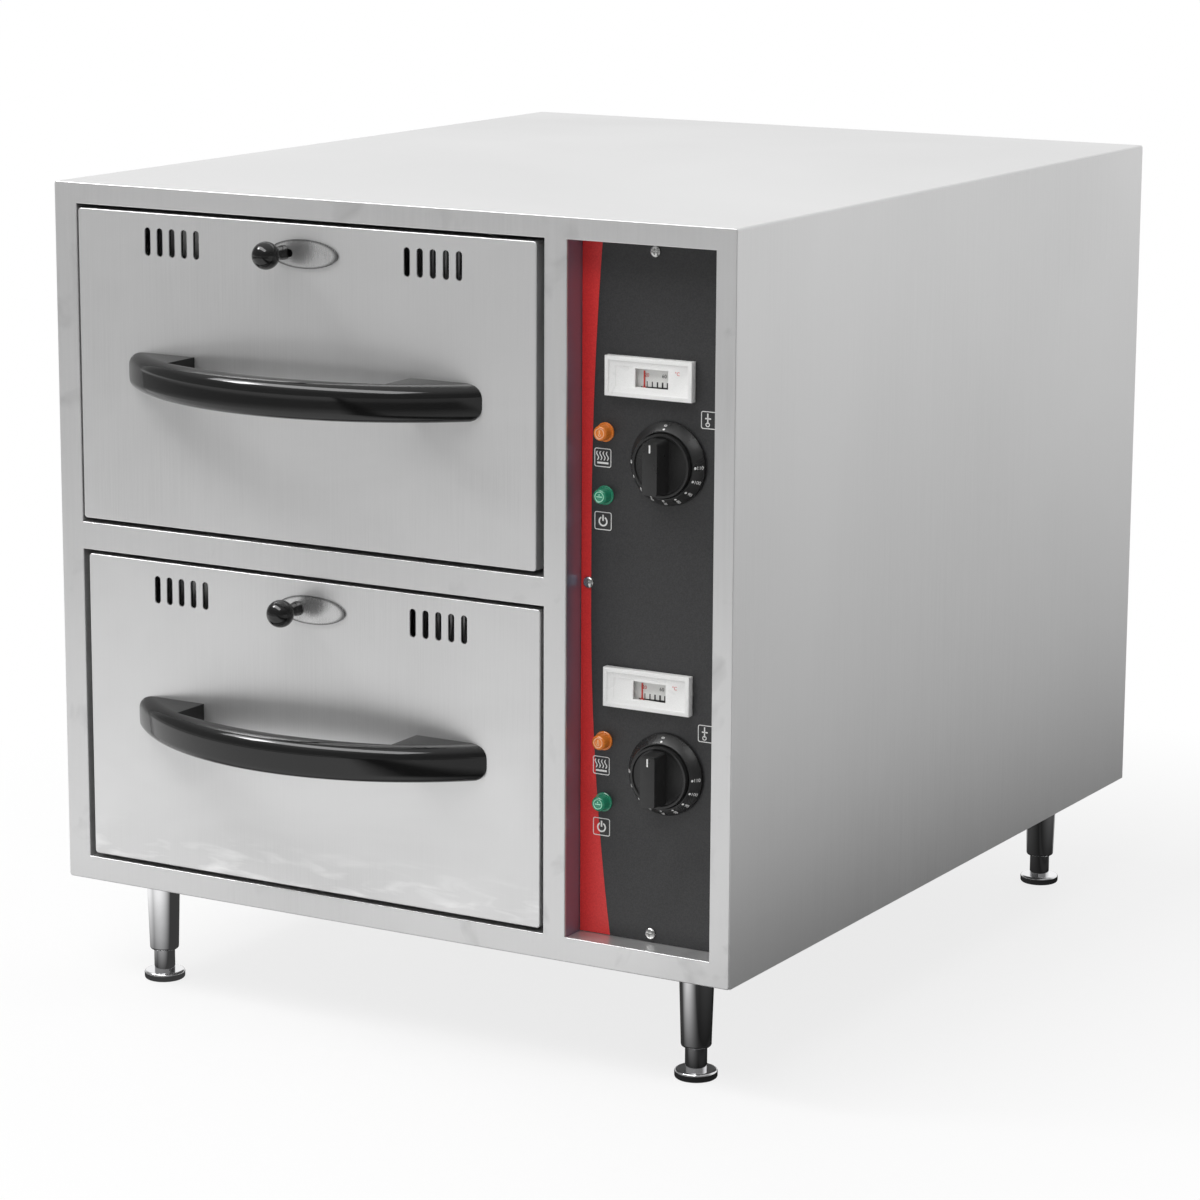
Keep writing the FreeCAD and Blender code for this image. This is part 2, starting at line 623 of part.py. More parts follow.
def base_panel():
    body = new_body("base_panel", CORNER)
    pad(
        body, "XY_Plane", 0, "sheet",
        rectangle("sheet", "sheet", f"{BODY_WIDTH} - 2 * sheet", "body_depth - 2 * sheet"),
    )
    start = "sheet + frame_return + lay"
    length = f"body_depth - 3 * sheet - lay - ({start})"
    for x in ("sheet", f"{BODY_WIDTH} - 2 * sheet"):
        pad(body, "XY_Plane", "sheet", "rear_flange", rectangle(x, start, "sheet", length))
    pad(
        body, "XY_Plane", "sheet", "rear_flange",
        rectangle(
            "sheet + rear_flange + lay", "body_depth - 2 * sheet",
            f"{BODY_WIDTH} - 2 * sheet - 2 * rear_flange - 2 * lay", "sheet",
        ),
    )
    cut(body, "XY_Plane", 0, "sheet", *leg_holes("stud_radius + lay"))
    places = [(x, z) for x, z in rear_screw_places() if not in_shell(x, z)]
    holes = [circle(x, z, "screw_radius + screw_clearance") for x, z in places]
    cut(body, "XZ_Plane", "body_depth - 2 * sheet", "sheet", *holes)


def rear_panel():
    body = new_body("rear_panel", CORNER)
    pad(
        body, "XZ_Plane", "body_depth - sheet", "sheet",
        rectangle(
            "sheet + lay", "sheet", f"{BODY_WIDTH} - 2 * sheet - 2 * lay", f"{BODY_HEIGHT} - 2 * sheet - lay",
        ),
    )
    holes = [circle(x, z, "screw_radius + screw_clearance") for x, z in rear_screw_places()]
    cut(body, "XZ_Plane", "body_depth - sheet", "sheet", *holes)
    cut(
        body, "XZ_Plane", "body_depth - sheet", "sheet",
        circle(CONTROL_MIDDLE, "gland_level", "gland_thread + lay"),
    )
    first = cut(
        body, "XZ_Plane", "body_depth - sheet", "sheet",
        slot(CONTROL_MIDDLE, "louvre_level", "louvre_length", "louvre_width"),
    )
    repeat(body, first, "Z_Axis", "louvre_pitch * (louvre_count - 1)", "louvre_count")


def pan_head_screw(body, length, way):
    """A cross-recessed screw along Y, its head on the body's XZ plane. way is 1 for a head in front."""
    turn(
        body, "XY_Plane",
        (0, f"{way} * ({length})"), ("screw_radius", f"{way} * ({length})"), ("screw_radius", 0),
        ("screw_head_radius", 0), ("screw_head_radius", f"-{way} * screw_head_height / 2"),
        ("screw_head_radius / 2", f"-{way} * screw_head_height"), (0, f"-{way} * screw_head_height"),
    )
    arm = "(screw_head_radius / 2)"
    wide = "(screw_slot_width / 2)"
    start = "-screw_head_height" if way == 1 else "screw_head_height - screw_slot_depth"
    cut(
        body, "XZ_Plane", start, "screw_slot_depth",
        outline(
            (f"-{arm}", f"-{wide}"), (f"-{wide}", f"-{wide}"), (f"-{wide}", f"-{arm}"), (wide, f"-{arm}"),
            (wide, f"-{wide}"), (arm, f"-{wide}"), (arm, wide), (wide, wide), (wide, arm),
            (f"-{wide}", arm), (f"-{wide}", wide), (f"-{arm}", wide),
        ),
    )


def rear_panel_screws():
    screws = []
    for x, z in rear_screw_places():
        screw = new_body("rear_screw", moved(CORNER, x, "body_depth", z))
        pan_head_screw(screw, "2 * sheet + screw_tail", -1)
        screws.append(screw)
    group("rear_panel_screws", screws)


def control_bay_partition():
    body = new_body("control_bay_partition", CORNER)
    left = f"{CONTROL_X} - liner_sheet"
    tip = f"{CONTROL_X} + rear_flange"
    top = f"{BODY_HEIGHT} - sheet"
    pad(
        body, "XZ_Plane", REVEAL_END, f"body_depth - 2 * sheet - lay - {REVEAL_END}",
        outline(
            (left, "sheet"), (tip, "sheet"), (tip, "sheet + liner_sheet"), (CONTROL_X, "sheet + liner_sheet"),
            (CONTROL_X, f"{top} - liner_sheet"), (tip, f"{top} - liner_sheet"), (tip, top), (left, top),
        ),
    )
    cut(body, "YZ_Plane", left, "liner_sheet", *capillary_holes())
    # The base's rear flange stands inside the corner of the partition.
    cut(
        body, "XY_Plane", "sheet", "liner_sheet",
        rectangle(f"{tip} - lay", f"body_depth - 3 * sheet", "2 * lay", "sheet"),
    )


def capillary_holes():
    """Both capillary holes, as outlines in y and z of the cabinet."""
    return [circle(BULB_Y, f"{SILL[level]} + bulb_level", "capillary_hole_radius") for level in LEVELS]


def heater_ends():
    """The two ends of a heater, as x in its cavity."""
    return (HEATER_X, f"{HEATER_X} + 3 * heater_pitch")


def cavity_liner(level):
    body = new_body(f"{level}_cavity_liner", moved(CORNER, "left_stile", 0, SILL[level]))
    pad(
        body, "XZ_Plane", "sheet", f"{CAVITY_DEPTH} + liner_sheet - sheet",
        rectangle(
            "-liner_sheet", "-liner_sheet",
            "drawer_opening_width + 2 * liner_sheet", "opening_height + 2 * liner_sheet",
        ),
    )
    cut(
        body, "XZ_Plane", "sheet", f"{CAVITY_DEPTH} - sheet",
        rectangle(0, 0, "drawer_opening_width", "opening_height"),
    )
    holes = [circle(x, "heater_level", "heater_radius + heater_hole_clearance") for x in heater_ends()]
    cut(body, "XZ_Plane", CAVITY_DEPTH, "liner_sheet", *holes)
    cut(
        body, "YZ_Plane", "drawer_opening_width", "liner_sheet",
        circle(BULB_Y, "bulb_level", "capillary_hole_radius"),
    )


def insulation():
    """Mineral wool slabs round and between the two cavities."""
    body = new_body("insulation", CORNER)
    start = f"({REVEAL_END} + lay)"
    depth = f"{CAVITY_DEPTH} - {start}"
    low = "(2 * sheet + rear_flange + lay)"
    high = f"({BODY_HEIGHT} - 2 * sheet - lay)"
    right_x = "(left_stile + drawer_opening_width + liner_sheet + lay)"
    right_end = f"({CONTROL_X} - liner_sheet - lay)"
    left_x = "(2 * sheet + lay)"
    left_end = "(left_stile - liner_sheet - lay)"
    for near_x, far_x in ((left_x, left_end), (right_x, right_end)):
        slab = rectangle(near_x, low, f"{far_x} - {near_x}", f"{high} - {low}")
        pad(body, "XZ_Plane", start, depth, slab)
    cut(body, "YZ_Plane", right_x, f"{right_end} - {right_x}", *capillary_holes())
    slab_x = "left_stile - liner_sheet"
    slab_width = "drawer_opening_width + 2 * liner_sheet"
    top_z = f"({SILL['upper']} + opening_height + liner_sheet + lay)"
    middle_z = "(bottom_rail + opening_height + liner_sheet + lay)"
    for z, height in (
        ("sheet + lay", "bottom_rail - liner_sheet - sheet - 2 * lay"),
        (middle_z, "middle_rail - 2 * liner_sheet - 2 * lay"),
        (top_z, f"{high} - {top_z}"),
    ):
        pad(body, "XZ_Plane", start, depth, rectangle(slab_x, z, slab_width, height))
    rear_y = f"{CAVITY_DEPTH} + liner_sheet + lay"
    pad(
        body, "XZ_Plane", rear_y, "insulation_back",
        rectangle(left_x, low, f"{right_end} - {left_x}", f"{high} - {low}"),
    )
    tails = [
        circle(f"left_stile + {x}", f"{SILL[level]} + heater_level", "heater_radius + heater_hole_clearance")
        for x in heater_ends() for level in LEVELS
    ]
    cut(body, "XZ_Plane", rear_y, "insulation_back", *tails)
    wells = [circle(LEG_X["left"], LEG_Y[end], "stud_radius + stud_clearance") for end in LEG_Y]
    cut(body, "XY_Plane", "sheet", "bottom_rail - liner_sheet - sheet", *wells)


# Control panel


def panel_sheet_with_holes(label, start, thickness):
    body = new_body(label, CORNER)
    pad(
        body, "XZ_Plane", start, thickness,
        rectangle(
            f"{CONTROL_X} + lay", "bottom_rail + lay",
            "control_opening_width - 2 * lay", f"{CONTROL_HEIGHT} - 2 * lay",
        ),
    )
    holes = [circle(x, z, "screw_radius + screw_clearance") for x, z in panel_screw_places()]
    for level in LEVELS:
        axis = KNOB_Z[level]
        holes.append(circle(KNOB_X, axis, "bush_radius + bush_hole_clearance"))
        holes.append(circle(LAMP_X, f"{axis} + heat_lamp_rise", "lamp_barrel_radius + lay"))
        holes.append(circle(LAMP_X, f"{axis} - power_lamp_drop", "lamp_barrel_radius + lay"))
        holes.append(
            centred_rectangle(
                "bezel_width - 2 * case_inset + 2 * lay", "bezel_height - 2 * case_inset + 2 * lay",
                THERMOMETER_X, f"{axis} + thermometer_rise",
            )
        )
    cut(body, "XZ_Plane", start, thickness, *holes)


def control_panel_screws():
    screws = []
    for x, z in panel_screw_places():
        screw = new_body("panel_screw", moved(CORNER, x, "control_recess", z))
        pan_head_screw(screw, f"{REVEAL_END} - control_recess + screw_tail", 1)
        screws.append(screw)
    group("control_panel_screws", screws)


def control_place(x, z):
    """A place on the face of the control panel."""
    return moved(CORNER, x, "control_recess", z)


def thermostat(level):
    body = new_body(f"{level}_thermostat", control_place(KNOB_X, KNOB_Z[level]))
    behind = f"({PANEL_BACK} - control_recess)"
    case = centred_rectangle("thermostat_width", "thermostat_height")
    pad(body, "XZ_Plane", behind, "thermostat_depth", case)
    pad(body, "XZ_Plane", "-bush_reach", f"bush_reach + {behind}", circle(0, 0, "bush_radius"))
    cut(
        body, "XZ_Plane", "-bush_reach", f"bush_reach + {behind} + shaft_depth + lay",
        circle(0, 0, "shaft_radius + shaft_clearance"),
    )
    terminals = [
        centred_rectangle("blade_terminal_width", "blade_terminal_sheet", f"{side} * thermostat_width / 4", z)
        for side in (-1, 1) for z in ("thermostat_height / 4", "-thermostat_height / 4")
    ]
    pad(body, "XZ_Plane", f"{behind} + thermostat_depth", "blade_terminal_length", *terminals)


def thermostat_shaft(level):
    body = new_body(f"{level}_thermostat_shaft", control_place(KNOB_X, KNOB_Z[level]))
    end = f"({PANEL_BACK} - control_recess + shaft_depth)"
    pad(body, "XZ_Plane", "-shaft_reach", f"shaft_reach + {end}", circle(0, 0, "shaft_radius"))


def thermostat_knob(level):
    body = new_body(f"{level}_thermostat_knob", control_place(KNOB_X, KNOB_Z[level]))
    turn(
        body, "XY_Plane",
        (0, "-knob_gap - bush_reach"), ("bush_radius + knob_gap", "-knob_gap - bush_reach"),
        ("bush_radius + knob_gap", "-knob_gap"), ("knob_skirt_radius", "-knob_gap"),
        ("knob_skirt_radius", "-knob_gap - knob_skirt_edge"), ("knob_neck_radius", "-knob_neck_reach"),
        ("knob_cap_radius", "-knob_neck_reach"), ("knob_cap_radius", "-knob_cap_reach"),
        (0, "-knob_cap_reach"),
    )
    wall = "(knob_cap_radius - knob_rim)"
    half = "(knob_blade_width / 2)"
    rise = f"sqrt({wall} ^ 2 - {half} ^ 2)"
    wells = [
        outline((half, f"-{rise}"), (half, rise, wall)),
        outline((f"-{half}", rise), (f"-{half}", f"-{rise}", wall)),
    ]
    cut(body, "XZ_Plane", "-knob_cap_reach", "knob_well_depth", *wells)
    pad(
        body, "XZ_Plane", "-knob_cap_reach - knob_blade_reach", "knob_blade_reach + knob_well_depth",
        centred_rectangle("knob_blade_width", f"2 * {rise}"),
    )
    cut(
        body, "XZ_Plane", "-shaft_reach", "shaft_reach - knob_gap - bush_reach",
        circle(0, 0, "shaft_radius + shaft_clearance"),
    )


def thermometer_bezel(level):
    axis = f"({KNOB_Z[level]} + thermometer_rise)"
    body = new_body(f"{level}_thermometer_bezel", control_place(THERMOMETER_X, axis))
    pad(body, "XZ_Plane", "-bezel_reach", "bezel_reach", centred_rectangle("bezel_width", "bezel_height"))
    case_width = "(bezel_width - 2 * case_inset)"
    case_height = "(bezel_height - 2 * case_inset)"
    pad(body, "XZ_Plane", 0, "case_depth", centred_rectangle(case_width, case_height))
    cut(
        body, "XZ_Plane", "-bezel_reach + bezel_step + bezel_wall",
        "bezel_reach - bezel_step - 2 * bezel_wall + case_depth",
        centred_rectangle(f"{case_width} - 2 * bezel_wall", f"{case_height} - 2 * bezel_wall"),
    )
    cut(
        body, "XZ_Plane", "-bezel_reach", "bezel_step",
        centred_rectangle("bezel_width - 2 * bezel_border", "bezel_height - 2 * bezel_border"),
    )
    cut(
        body, "XZ_Plane", "-bezel_reach + bezel_step", "bezel_wall",
        centred_rectangle("window_width", "window_height", "window_offset"),
    )
    half_width = value("bezel_width / 2")
    half_height = value("bezel_height / 2")
    round_edges(
        body, "edge_round",
        lambda edge: near(edge.BoundBox.YMax, -value("bezel_reach"))
        and (near(abs(edge.CenterOfMass.x), half_width) or near(abs(edge.CenterOfMass.z), half_height)),
    )


def thermometer_dial(level):
    axis = f"({KNOB_Z[level]} + thermometer_rise)"
    body = new_body("scale_plate", control_place(THERMOMETER_X, axis))
    inset = "(2 * (case_inset + bezel_wall) + lay)"
    plate = centred_rectangle(f"bezel_width - {inset}", f"bezel_height - {inset}")
    pad(body, "XZ_Plane", 0, "dial_sheet", plate)
    pad(
        body, "XZ_Plane", "-2 * pointer_gap - pointer_sheet", "2 * pointer_gap + pointer_sheet + dial_sheet",
        circle("pointer_offset", "-pointer_drop", "pivot_radius"),
    )
    return body


def thermometer_pointer(level):
    axis = f"({KNOB_Z[level]} + thermometer_rise - pointer_drop)"
    place_x = f"({THERMOMETER_X} + pointer_offset)"
    body = new_body(f"{level}_thermometer_pointer", control_place(place_x, axis))
    start = "-pointer_gap - pointer_sheet"
    pad(body, "XZ_Plane", start, "pointer_sheet", circle(0, 0, "pointer_hub_radius"))
    pad(
        body, "XZ_Plane", start, "pointer_sheet",
        rectangle("-pointer_width / 2", 0, "pointer_width", "pointer_length"),
    )
    cut(body, "XZ_Plane", start, "pointer_sheet", circle(0, 0, "pivot_radius + shaft_clearance"))


def lamps(label, height):
    """The same lamp in the upper and lower set of controls."""
    members = []
    for level in LEVELS:
        lamp = new_body("lamp", control_place(LAMP_X, f"({KNOB_Z[level]} + {height})"))
        turn(
            lamp, "XY_Plane",
            (0, "-lamp_reach"), ("lamp_radius - lamp_dome", "-lamp_reach"),
            ("lamp_radius", "-lamp_reach + lamp_dome", "lamp_dome"), ("lamp_radius", "-lamp_flange_sheet"),
            ("lamp_flange_radius", "-lamp_flange_sheet"), ("lamp_flange_radius", 0),
            ("lamp_barrel_radius", 0), ("lamp_barrel_radius", "lamp_depth"), (0, "lamp_depth"),
        )
        members.append(lamp)
    group(label, members)


# Drawers


def front_place(level):
    """The middle of a drawer front's face, at the height of the sill."""
    middle = f"left_stile + drawer_opening_width / 2 + {SHIFT[level]}"
    return moved(CORNER, middle, 0, SILL[level])


def box_place(level):
    return moved(CORNER, "left_stile + drawer_opening_width / 2", 0, SILL[level])


def vent_row(body, start, depth, width, length):
    """Cuts both groups of vent slots through the body, from y = start."""
    for side in (-1, 1):
        first_x = f"{side} * vent_offset - vent_pitch * (vent_count - 1) / 2"
        first = cut(body, "XZ_Plane", start, depth, slot(first_x, VENT_HEIGHT, width, length))
        repeat(body, first, "X_Axis", "vent_pitch * (vent_count - 1)", "vent_count")


def stem_slot():
    """The slot that the vent knob's stem slides in."""
    width = "shutter_travel + 2 * stem_radius + 2 * stem_clearance"
    return slot("shutter_travel / 2 - ball_offset", VENT_HEIGHT, width, "2 * (stem_radius + stem_clearance)")


def drawer_front(level):
    body = new_body(f"{level}_drawer_front", front_place(level))
    pad(
        body, "XZ_Plane", 0, "front_depth",
        rounded_rectangle(f"-{FRONT_WIDTH} / 2", "front_gap", FRONT_WIDTH, FRONT_HEIGHT, "front_corner"),
    )
    cut(
        body, "XZ_Plane", "front_sheet", "front_depth - front_sheet",
        rectangle(
            f"front_sheet - {FRONT_WIDTH} / 2", "front_gap + front_sheet",
            f"{FRONT_WIDTH} - 2 * front_sheet", f"{FRONT_HEIGHT} - 2 * front_sheet",
        ),
    )
    bolts = [
        circle(f"{side} * handle_bolt_spacing / 2", "handle_level", "bolt_radius + bolt_clearance")
        for side in (-1, 1)
    ]
    cut(body, "XZ_Plane", 0, "front_sheet", stem_slot(), *bolts)
    vent_row(body, 0, "front_sheet", "vent_width", "vent_length")
    front_box = (value(FRONT_WIDTH), value(FRONT_HEIGHT))
    round_edges(
        body, "edge_round",
        lambda edge: near(edge.BoundBox.YMax, 0)
        and (
            near(abs(edge.CenterOfMass.x) * 2, front_box[0])
            or near(abs(edge.CenterOfMass.z - value("front_gap") - front_box[1] / 2) * 2, front_box[1])
            or abs(edge.CenterOfMass.x) * 2 > front_box[0] - value("front_corner")
        ),
    )


def front_liner(level):
    body = new_body(f"{level}_front_liner", front_place(level))
    pad(
        body, "XZ_Plane", "front_depth", "liner_sheet",
        rectangle(
            f"lay - {FRONT_WIDTH} / 2", "front_gap + lay",
            f"{FRONT_WIDTH} - 2 * lay", f"{FRONT_HEIGHT} - 2 * lay",
        ),
    )
    vent_row(body, "front_depth", "liner_sheet", "vent_width", "vent_length")


def vent_shutter(level):
    """The sliding plate behind the slots, open."""
    body = new_body(f"{level}_vent_shutter", front_place(level))
    start = "front_sheet + shutter_gap"
    half = "(vent_offset + vent_pitch * (vent_count - 1) / 2 + shutter_end)"
    pad(
        body, "XZ_Plane", start, "shutter_sheet",
        rectangle(f"-{half}", f"{VENT_HEIGHT} - shutter_height / 2", f"2 * {half}", "shutter_height"),
    )
    vent_row(body, start, "shutter_sheet", "vent_width", "vent_length")


def vent_knob(level):
    """The ball on its stem. Open, the upper one is at its left stop and the lower one at its right."""
    body = new_body(f"{level}_vent_knob", moved(front_place(level), BALL_X[level], 0, VENT_HEIGHT))
    waist = "sqrt(ball_radius ^ 2 - neck_radius ^ 2) - ball_reach"
    foot = "-plate_sheet - stem_clearance"
    turn(
        body, "XY_Plane",
        (0, "front_sheet + shutter_gap"), (0, "-ball_reach - ball_radius"),
        ("ball_radius", "-ball_reach", "ball_radius"), ("neck_radius", waist, "ball_radius"),
        ("neck_foot_radius", foot), ("stem_radius", foot), ("stem_radius", "front_sheet + shutter_gap"),
    )


def vent_plate(level):
    oval = doc.addObject("Part::Ellipse", "Oval")
    bind(oval, "MajorRadius", "plate_length / 2")
    bind(oval, "MinorRadius", "plate_width / 2")
    oval.Placement.Rotation = FreeCAD.Rotation(FreeCAD.Vector(1, 0, 0), 90)
    place(oval, ("plate_offset", 0, VENT_HEIGHT))
    plate = doc.addObject("Part::Extrusion", "Extrusion")
    plate.Base = oval
    plate.DirMode = "Custom"
    plate.Dir = FreeCAD.Vector(0, -1, 0)
    bind(plate, "LengthFwd", "plate_sheet")
    plate.Solid = True
    plate.FaceMakerClass = "Part::FaceMakerBullseye"
    opening = new_body("stem_opening", ("0", "0", "0"))
    pad(opening, "XZ_Plane", "-2 * plate_sheet", "3 * plate_sheet", stem_slot())
    pierced = doc.addObject("Part::Cut", "Cut")
    pierced.Base = plate
    pierced.Tool = opening
    pierced.Label = f"{level}_vent_plate"
    place(pierced, front_place(level))


def handle(level):
    body = new_body(f"{level}_handle", moved(front_place(level), 0, 0, "handle_level"))
    half = "(handle_length / 2)"
    outer = f"(({half} ^ 2 + handle_reach ^ 2) / (2 * handle_reach))"
    gap = f"({half} - handle_foot)"
    inner_reach = "(handle_reach - handle_bar)"
    rise = f"({inner_reach} - handle_foot_reach)"
    inner = f"(({gap} ^ 2 + {rise} ^ 2) / (2 * {rise}))"
    pad(
        body, "XY_Plane", "-handle_height / 2", "handle_height",
        outline(
            (f"-{half}", 0), (0, "-handle_reach", outer), (half, 0, outer), (gap, 0),
            (gap, "-handle_foot_reach"), (0, f"-{inner_reach}", f"-{inner}"),
            (f"-{gap}", "-handle_foot_reach", f"-{inner}"), (f"-{gap}", 0),
        ),
    )
    side_z = value("handle_height / 2")
    round_edges(
        body, "handle_round",
        lambda edge: near(abs(edge.CenterOfMass.z), side_z)
        and edge.Curve.TypeId == "Part::GeomCircle"
        and near(edge.Curve.Radius, value(outer)),
    )
    # The ends are rounded, seen from the front.
    end = "(handle_height / 2 - lay)"
    corners = []
    for side, up, radius in ((1, 1, "-"), (1, -1, ""), (-1, 1, ""), (-1, -1, "-")):
        tip = f"{side} * ({half} + lay)"
        corners.append(
            outline(
                (f"{side} * ({half} - {end})", f"{up} * handle_height / 2"),
                (f"{side} * {half}", f"{up} * lay", f"{radius}{end}"), (tip, f"{up} * lay"),
                (tip, f"{up} * (handle_height / 2 + lay)"),
                (f"{side} * ({half} - {end})", f"{up} * (handle_height / 2 + lay)"),
            )
        )
    cut(body, "XZ_Plane", "-handle_reach", "handle_reach", *corners)
    bolts = [
        circle(f"{side} * handle_bolt_spacing / 2", 0, "bolt_radius + bolt_clearance")
        for side in (-1, 1)
    ]
    cut(body, "XZ_Plane", "-bolt_length - bolt_clearance", "bolt_length + bolt_clearance", *bolts)


def handle_screws(level):
    screws = []
    for side in (-1, 1):
        screw = new_body(
            "handle_screw",
            moved(front_place(level), f"{side} * handle_bolt_spacing / 2", "front_sheet", "handle_level"),
        )
        turn(
            screw, "XY_Plane",
            (0, "-front_sheet - bolt_length"), ("bolt_radius", "-front_sheet - bolt_length"),
            ("bolt_radius", 0), ("bolt_head_radius", 0), ("bolt_head_radius", "bolt_head"), (0, "bolt_head"),
        )
        screws.append(screw)
    group(f"{level}_handle_screws", screws)


def drawer_box(level):
    body = new_body(f"{level}_drawer_box", box_place(level))
    inside = f"({BOX_HALF} - box_sheet)"
    end = f"({FRONT_BACK} + {BOX_LENGTH})"
    pad(
        body, "XY_Plane", "box_bottom", "box_height",
        outline(
            (f"-{BOX_HALF}", FRONT_BACK), (f"-{inside}", FRONT_BACK), (f"-{inside}", f"{end} - box_sheet"),
            (inside, f"{end} - box_sheet"), (inside, FRONT_BACK), (BOX_HALF, FRONT_BACK), (BOX_HALF, end),
            (f"-{BOX_HALF}", end),
        ),
    )
    pad(
        body, "XY_Plane", "box_bottom + box_height - box_sheet", "box_sheet",
        rectangle(f"-{BOX_HALF}", FRONT_BACK, f"2 * {BOX_HALF}", BOX_LENGTH),
        centred_rectangle(
            f"{PAN_WIDTH} - 2 * pan_lip + 2 * pan_clearance",
            f"{PAN_LENGTH} - 2 * pan_lip + 2 * pan_clearance", 0, PAN_MIDDLE,
        ),
    )


def pan(level):
    body = new_body(f"{level}_pan", moved(box_place(level), 0, PAN_MIDDLE, "box_bottom + box_height"))

    def ring(inset, radius):
        width = f"({PAN_WIDTH} - 2 * ({inset}))"
        length = f"({PAN_LENGTH} - 2 * ({inset}))"
        return rounded_rectangle(f"-{width} / 2", f"-{length} / 2", width, length, radius)

    pad(body, "XY_Plane", 0, "pan_sheet", ring("0", "pan_corner + pan_lip"))
    pad(body, "XY_Plane", "pan_sheet - pan_depth", "pan_depth", ring("pan_lip", "pan_corner"))
    cut(
        body, "XY_Plane", "2 * pan_sheet - pan_depth", "pan_depth",
        ring("pan_lip + pan_sheet", "pan_corner - pan_sheet"),
    )


# Slides: three nested members a side. u is measured from the cavity's side wall inwards.


def slide_member(body, web_outer, web_inner, tip, half_height):
    outlines = []
    for side in (-1, 1):
        across = [f"{side} * (drawer_opening_width / 2 - ({u}))" for u in (web_outer, web_inner, tip)]
        low = f"rail_level - ({half_height})"
        high = f"rail_level + ({half_height})"
        outlines.append(
            outline(
                (across[0], low), (across[2], low), (across[2], f"{low} + rail_sheet"),
                (across[1], f"{low} + rail_sheet"), (across[1], f"{high} - rail_sheet"),
                (across[2], f"{high} - rail_sheet"), (across[2], high), (across[0], high),
            )
        )
    pad(body, "XZ_Plane", "rail_start", f"{CAVITY_DEPTH} - rail_start - rail_rear_gap", *outlines)


def slides(level):
    step = "(rail_sheet + rail_gap)"
    fixed = new_body(f"{level}_fixed_rails", box_place(level))
    slide_member(fixed, "0", "rail_sheet", "rail_width - 3 * rail_sheet", "rail_height / 2")
    middle = new_body(f"{level}_middle_rails", box_place(level))
    slide_member(
        middle, step, f"{step} + rail_sheet", "rail_width - rail_sheet - 2 * rail_gap",
        f"rail_height / 2 - {step}",
    )
    inner = new_body(f"{level}_drawer_rails", box_place(level))
    slide_member(
        inner, "rail_width", "rail_width - rail_sheet", f"2 * {step}", f"rail_height / 2 - 2 * {step}",
    )


# Heating


def cavity_place(level):
    return moved(CORNER, "left_stile", 0, SILL[level])


def heating_element(level):
    """A tubular heater with four runs, both ends through the cavity's rear wall."""
    body = new_body(f"{level}_heating_element", cavity_place(level))
    end = f"({CAVITY_DEPTH} + liner_sheet + heater_tail)"
    bend = "(heater_pitch / 2)"
    runs = [f"({HEATER_X} + {number} * heater_pitch)" for number in range(4)]
    front = f"(heater_front + {bend})"
    rear = f"({HEATER_REAR} - {bend})"
    path = body.newObject("Sketcher::SketchObject", "Path")
    path.AttachmentSupport = (origin_feature(body, "XY_Plane"), [""])
    path.MapMode = "FlatFace"
    bind(path, "AttachmentOffset.Base.z", "heater_level")
    route = (
        (runs[0], end), (runs[0], front), (runs[1], front, bend), (runs[1], rear),
        (runs[2], rear, f"-{bend}"), (runs[2], front), (runs[3], front, bend), (runs[3], end),
    )
    before = None
    for index, point in enumerate(route):
        here = FreeCAD.Vector(value(point[0]), value(point[1]), 0)
        if index:
            there = FreeCAD.Vector(value(route[index - 1][0]), value(route[index - 1][1]), 0)
            if len(point) == 3:
                centre = (here + there) * 0.5
                ring = Part.Circle(centre, FreeCAD.Vector(0, 0, 1), value(bend))
                at_front = here.y < value(CAVITY_DEPTH) / 2
                angles = (math.pi, 2 * math.pi) if at_front else (0, math.pi)
                edge = path.addGeometry(Part.ArcOfCircle(ring, *angles), False)
                begin, finish = (1, 2) if at_front else (2, 1)
                fix_point(path, edge, 3, f"({route[index - 1][0]} + {point[0]}) / 2", point[1])
                path.addConstraint(Sketcher.Constraint("Tangent", before[0], before[1], edge, begin))
            else:
                edge = path.addGeometry(Part.LineSegment(there, here), False)
                begin, finish = (1, 2)
                if before:
                    path.addConstraint(Sketcher.Constraint("Tangent", before[0], before[1], edge, begin))
                else:
                    fix_point(path, edge, 1, *route[0])
                path.addConstraint(Sketcher.Constraint("Vertical", edge))
            before = (edge, finish)
    last = path.addConstraint(Sketcher.Constraint("DistanceY", -1, 1, before[0], before[1], value(end)))
    bind(path, f"Constraints[{last}]", end)
    profile = sketch_on(body, "XZ_Plane", end, [circle(runs[0], "heater_level", "heater_radius")])
    tube = body.newObject("PartDesign::AdditivePipe", "AdditivePipe")
    tube.Profile = profile
    tube.Spine = path


def heater_supports():
    """Angle strips on the cavity floors that the heaters lie on."""
    body = new_body("heater_supports", moved(CORNER, "left_stile"))
    width = "3 * heater_pitch + 2 * support_overhang"
    top = "(heater_level - heater_radius)"
    strips = []
    for level in LEVELS:
        floor = SILL[level]
        for share in ("0.2", "0.5", "0.8"):
            y = f"(heater_front + {share} * ({HEATER_REAR} - heater_front))"
            strips.append(
                outline(
                    (y, floor), (f"{y} + support_foot", floor),
                    (f"{y} + support_foot", f"{floor} + liner_sheet"),
                    (f"{y} + liner_sheet", f"{floor} + liner_sheet"),
                    (f"{y} + liner_sheet", f"{floor} + {top}"),
                    (y, f"{floor} + {top}"),
                )
            )
    pad(body, "YZ_Plane", f"{HEATER_X} - support_overhang", width, *strips)


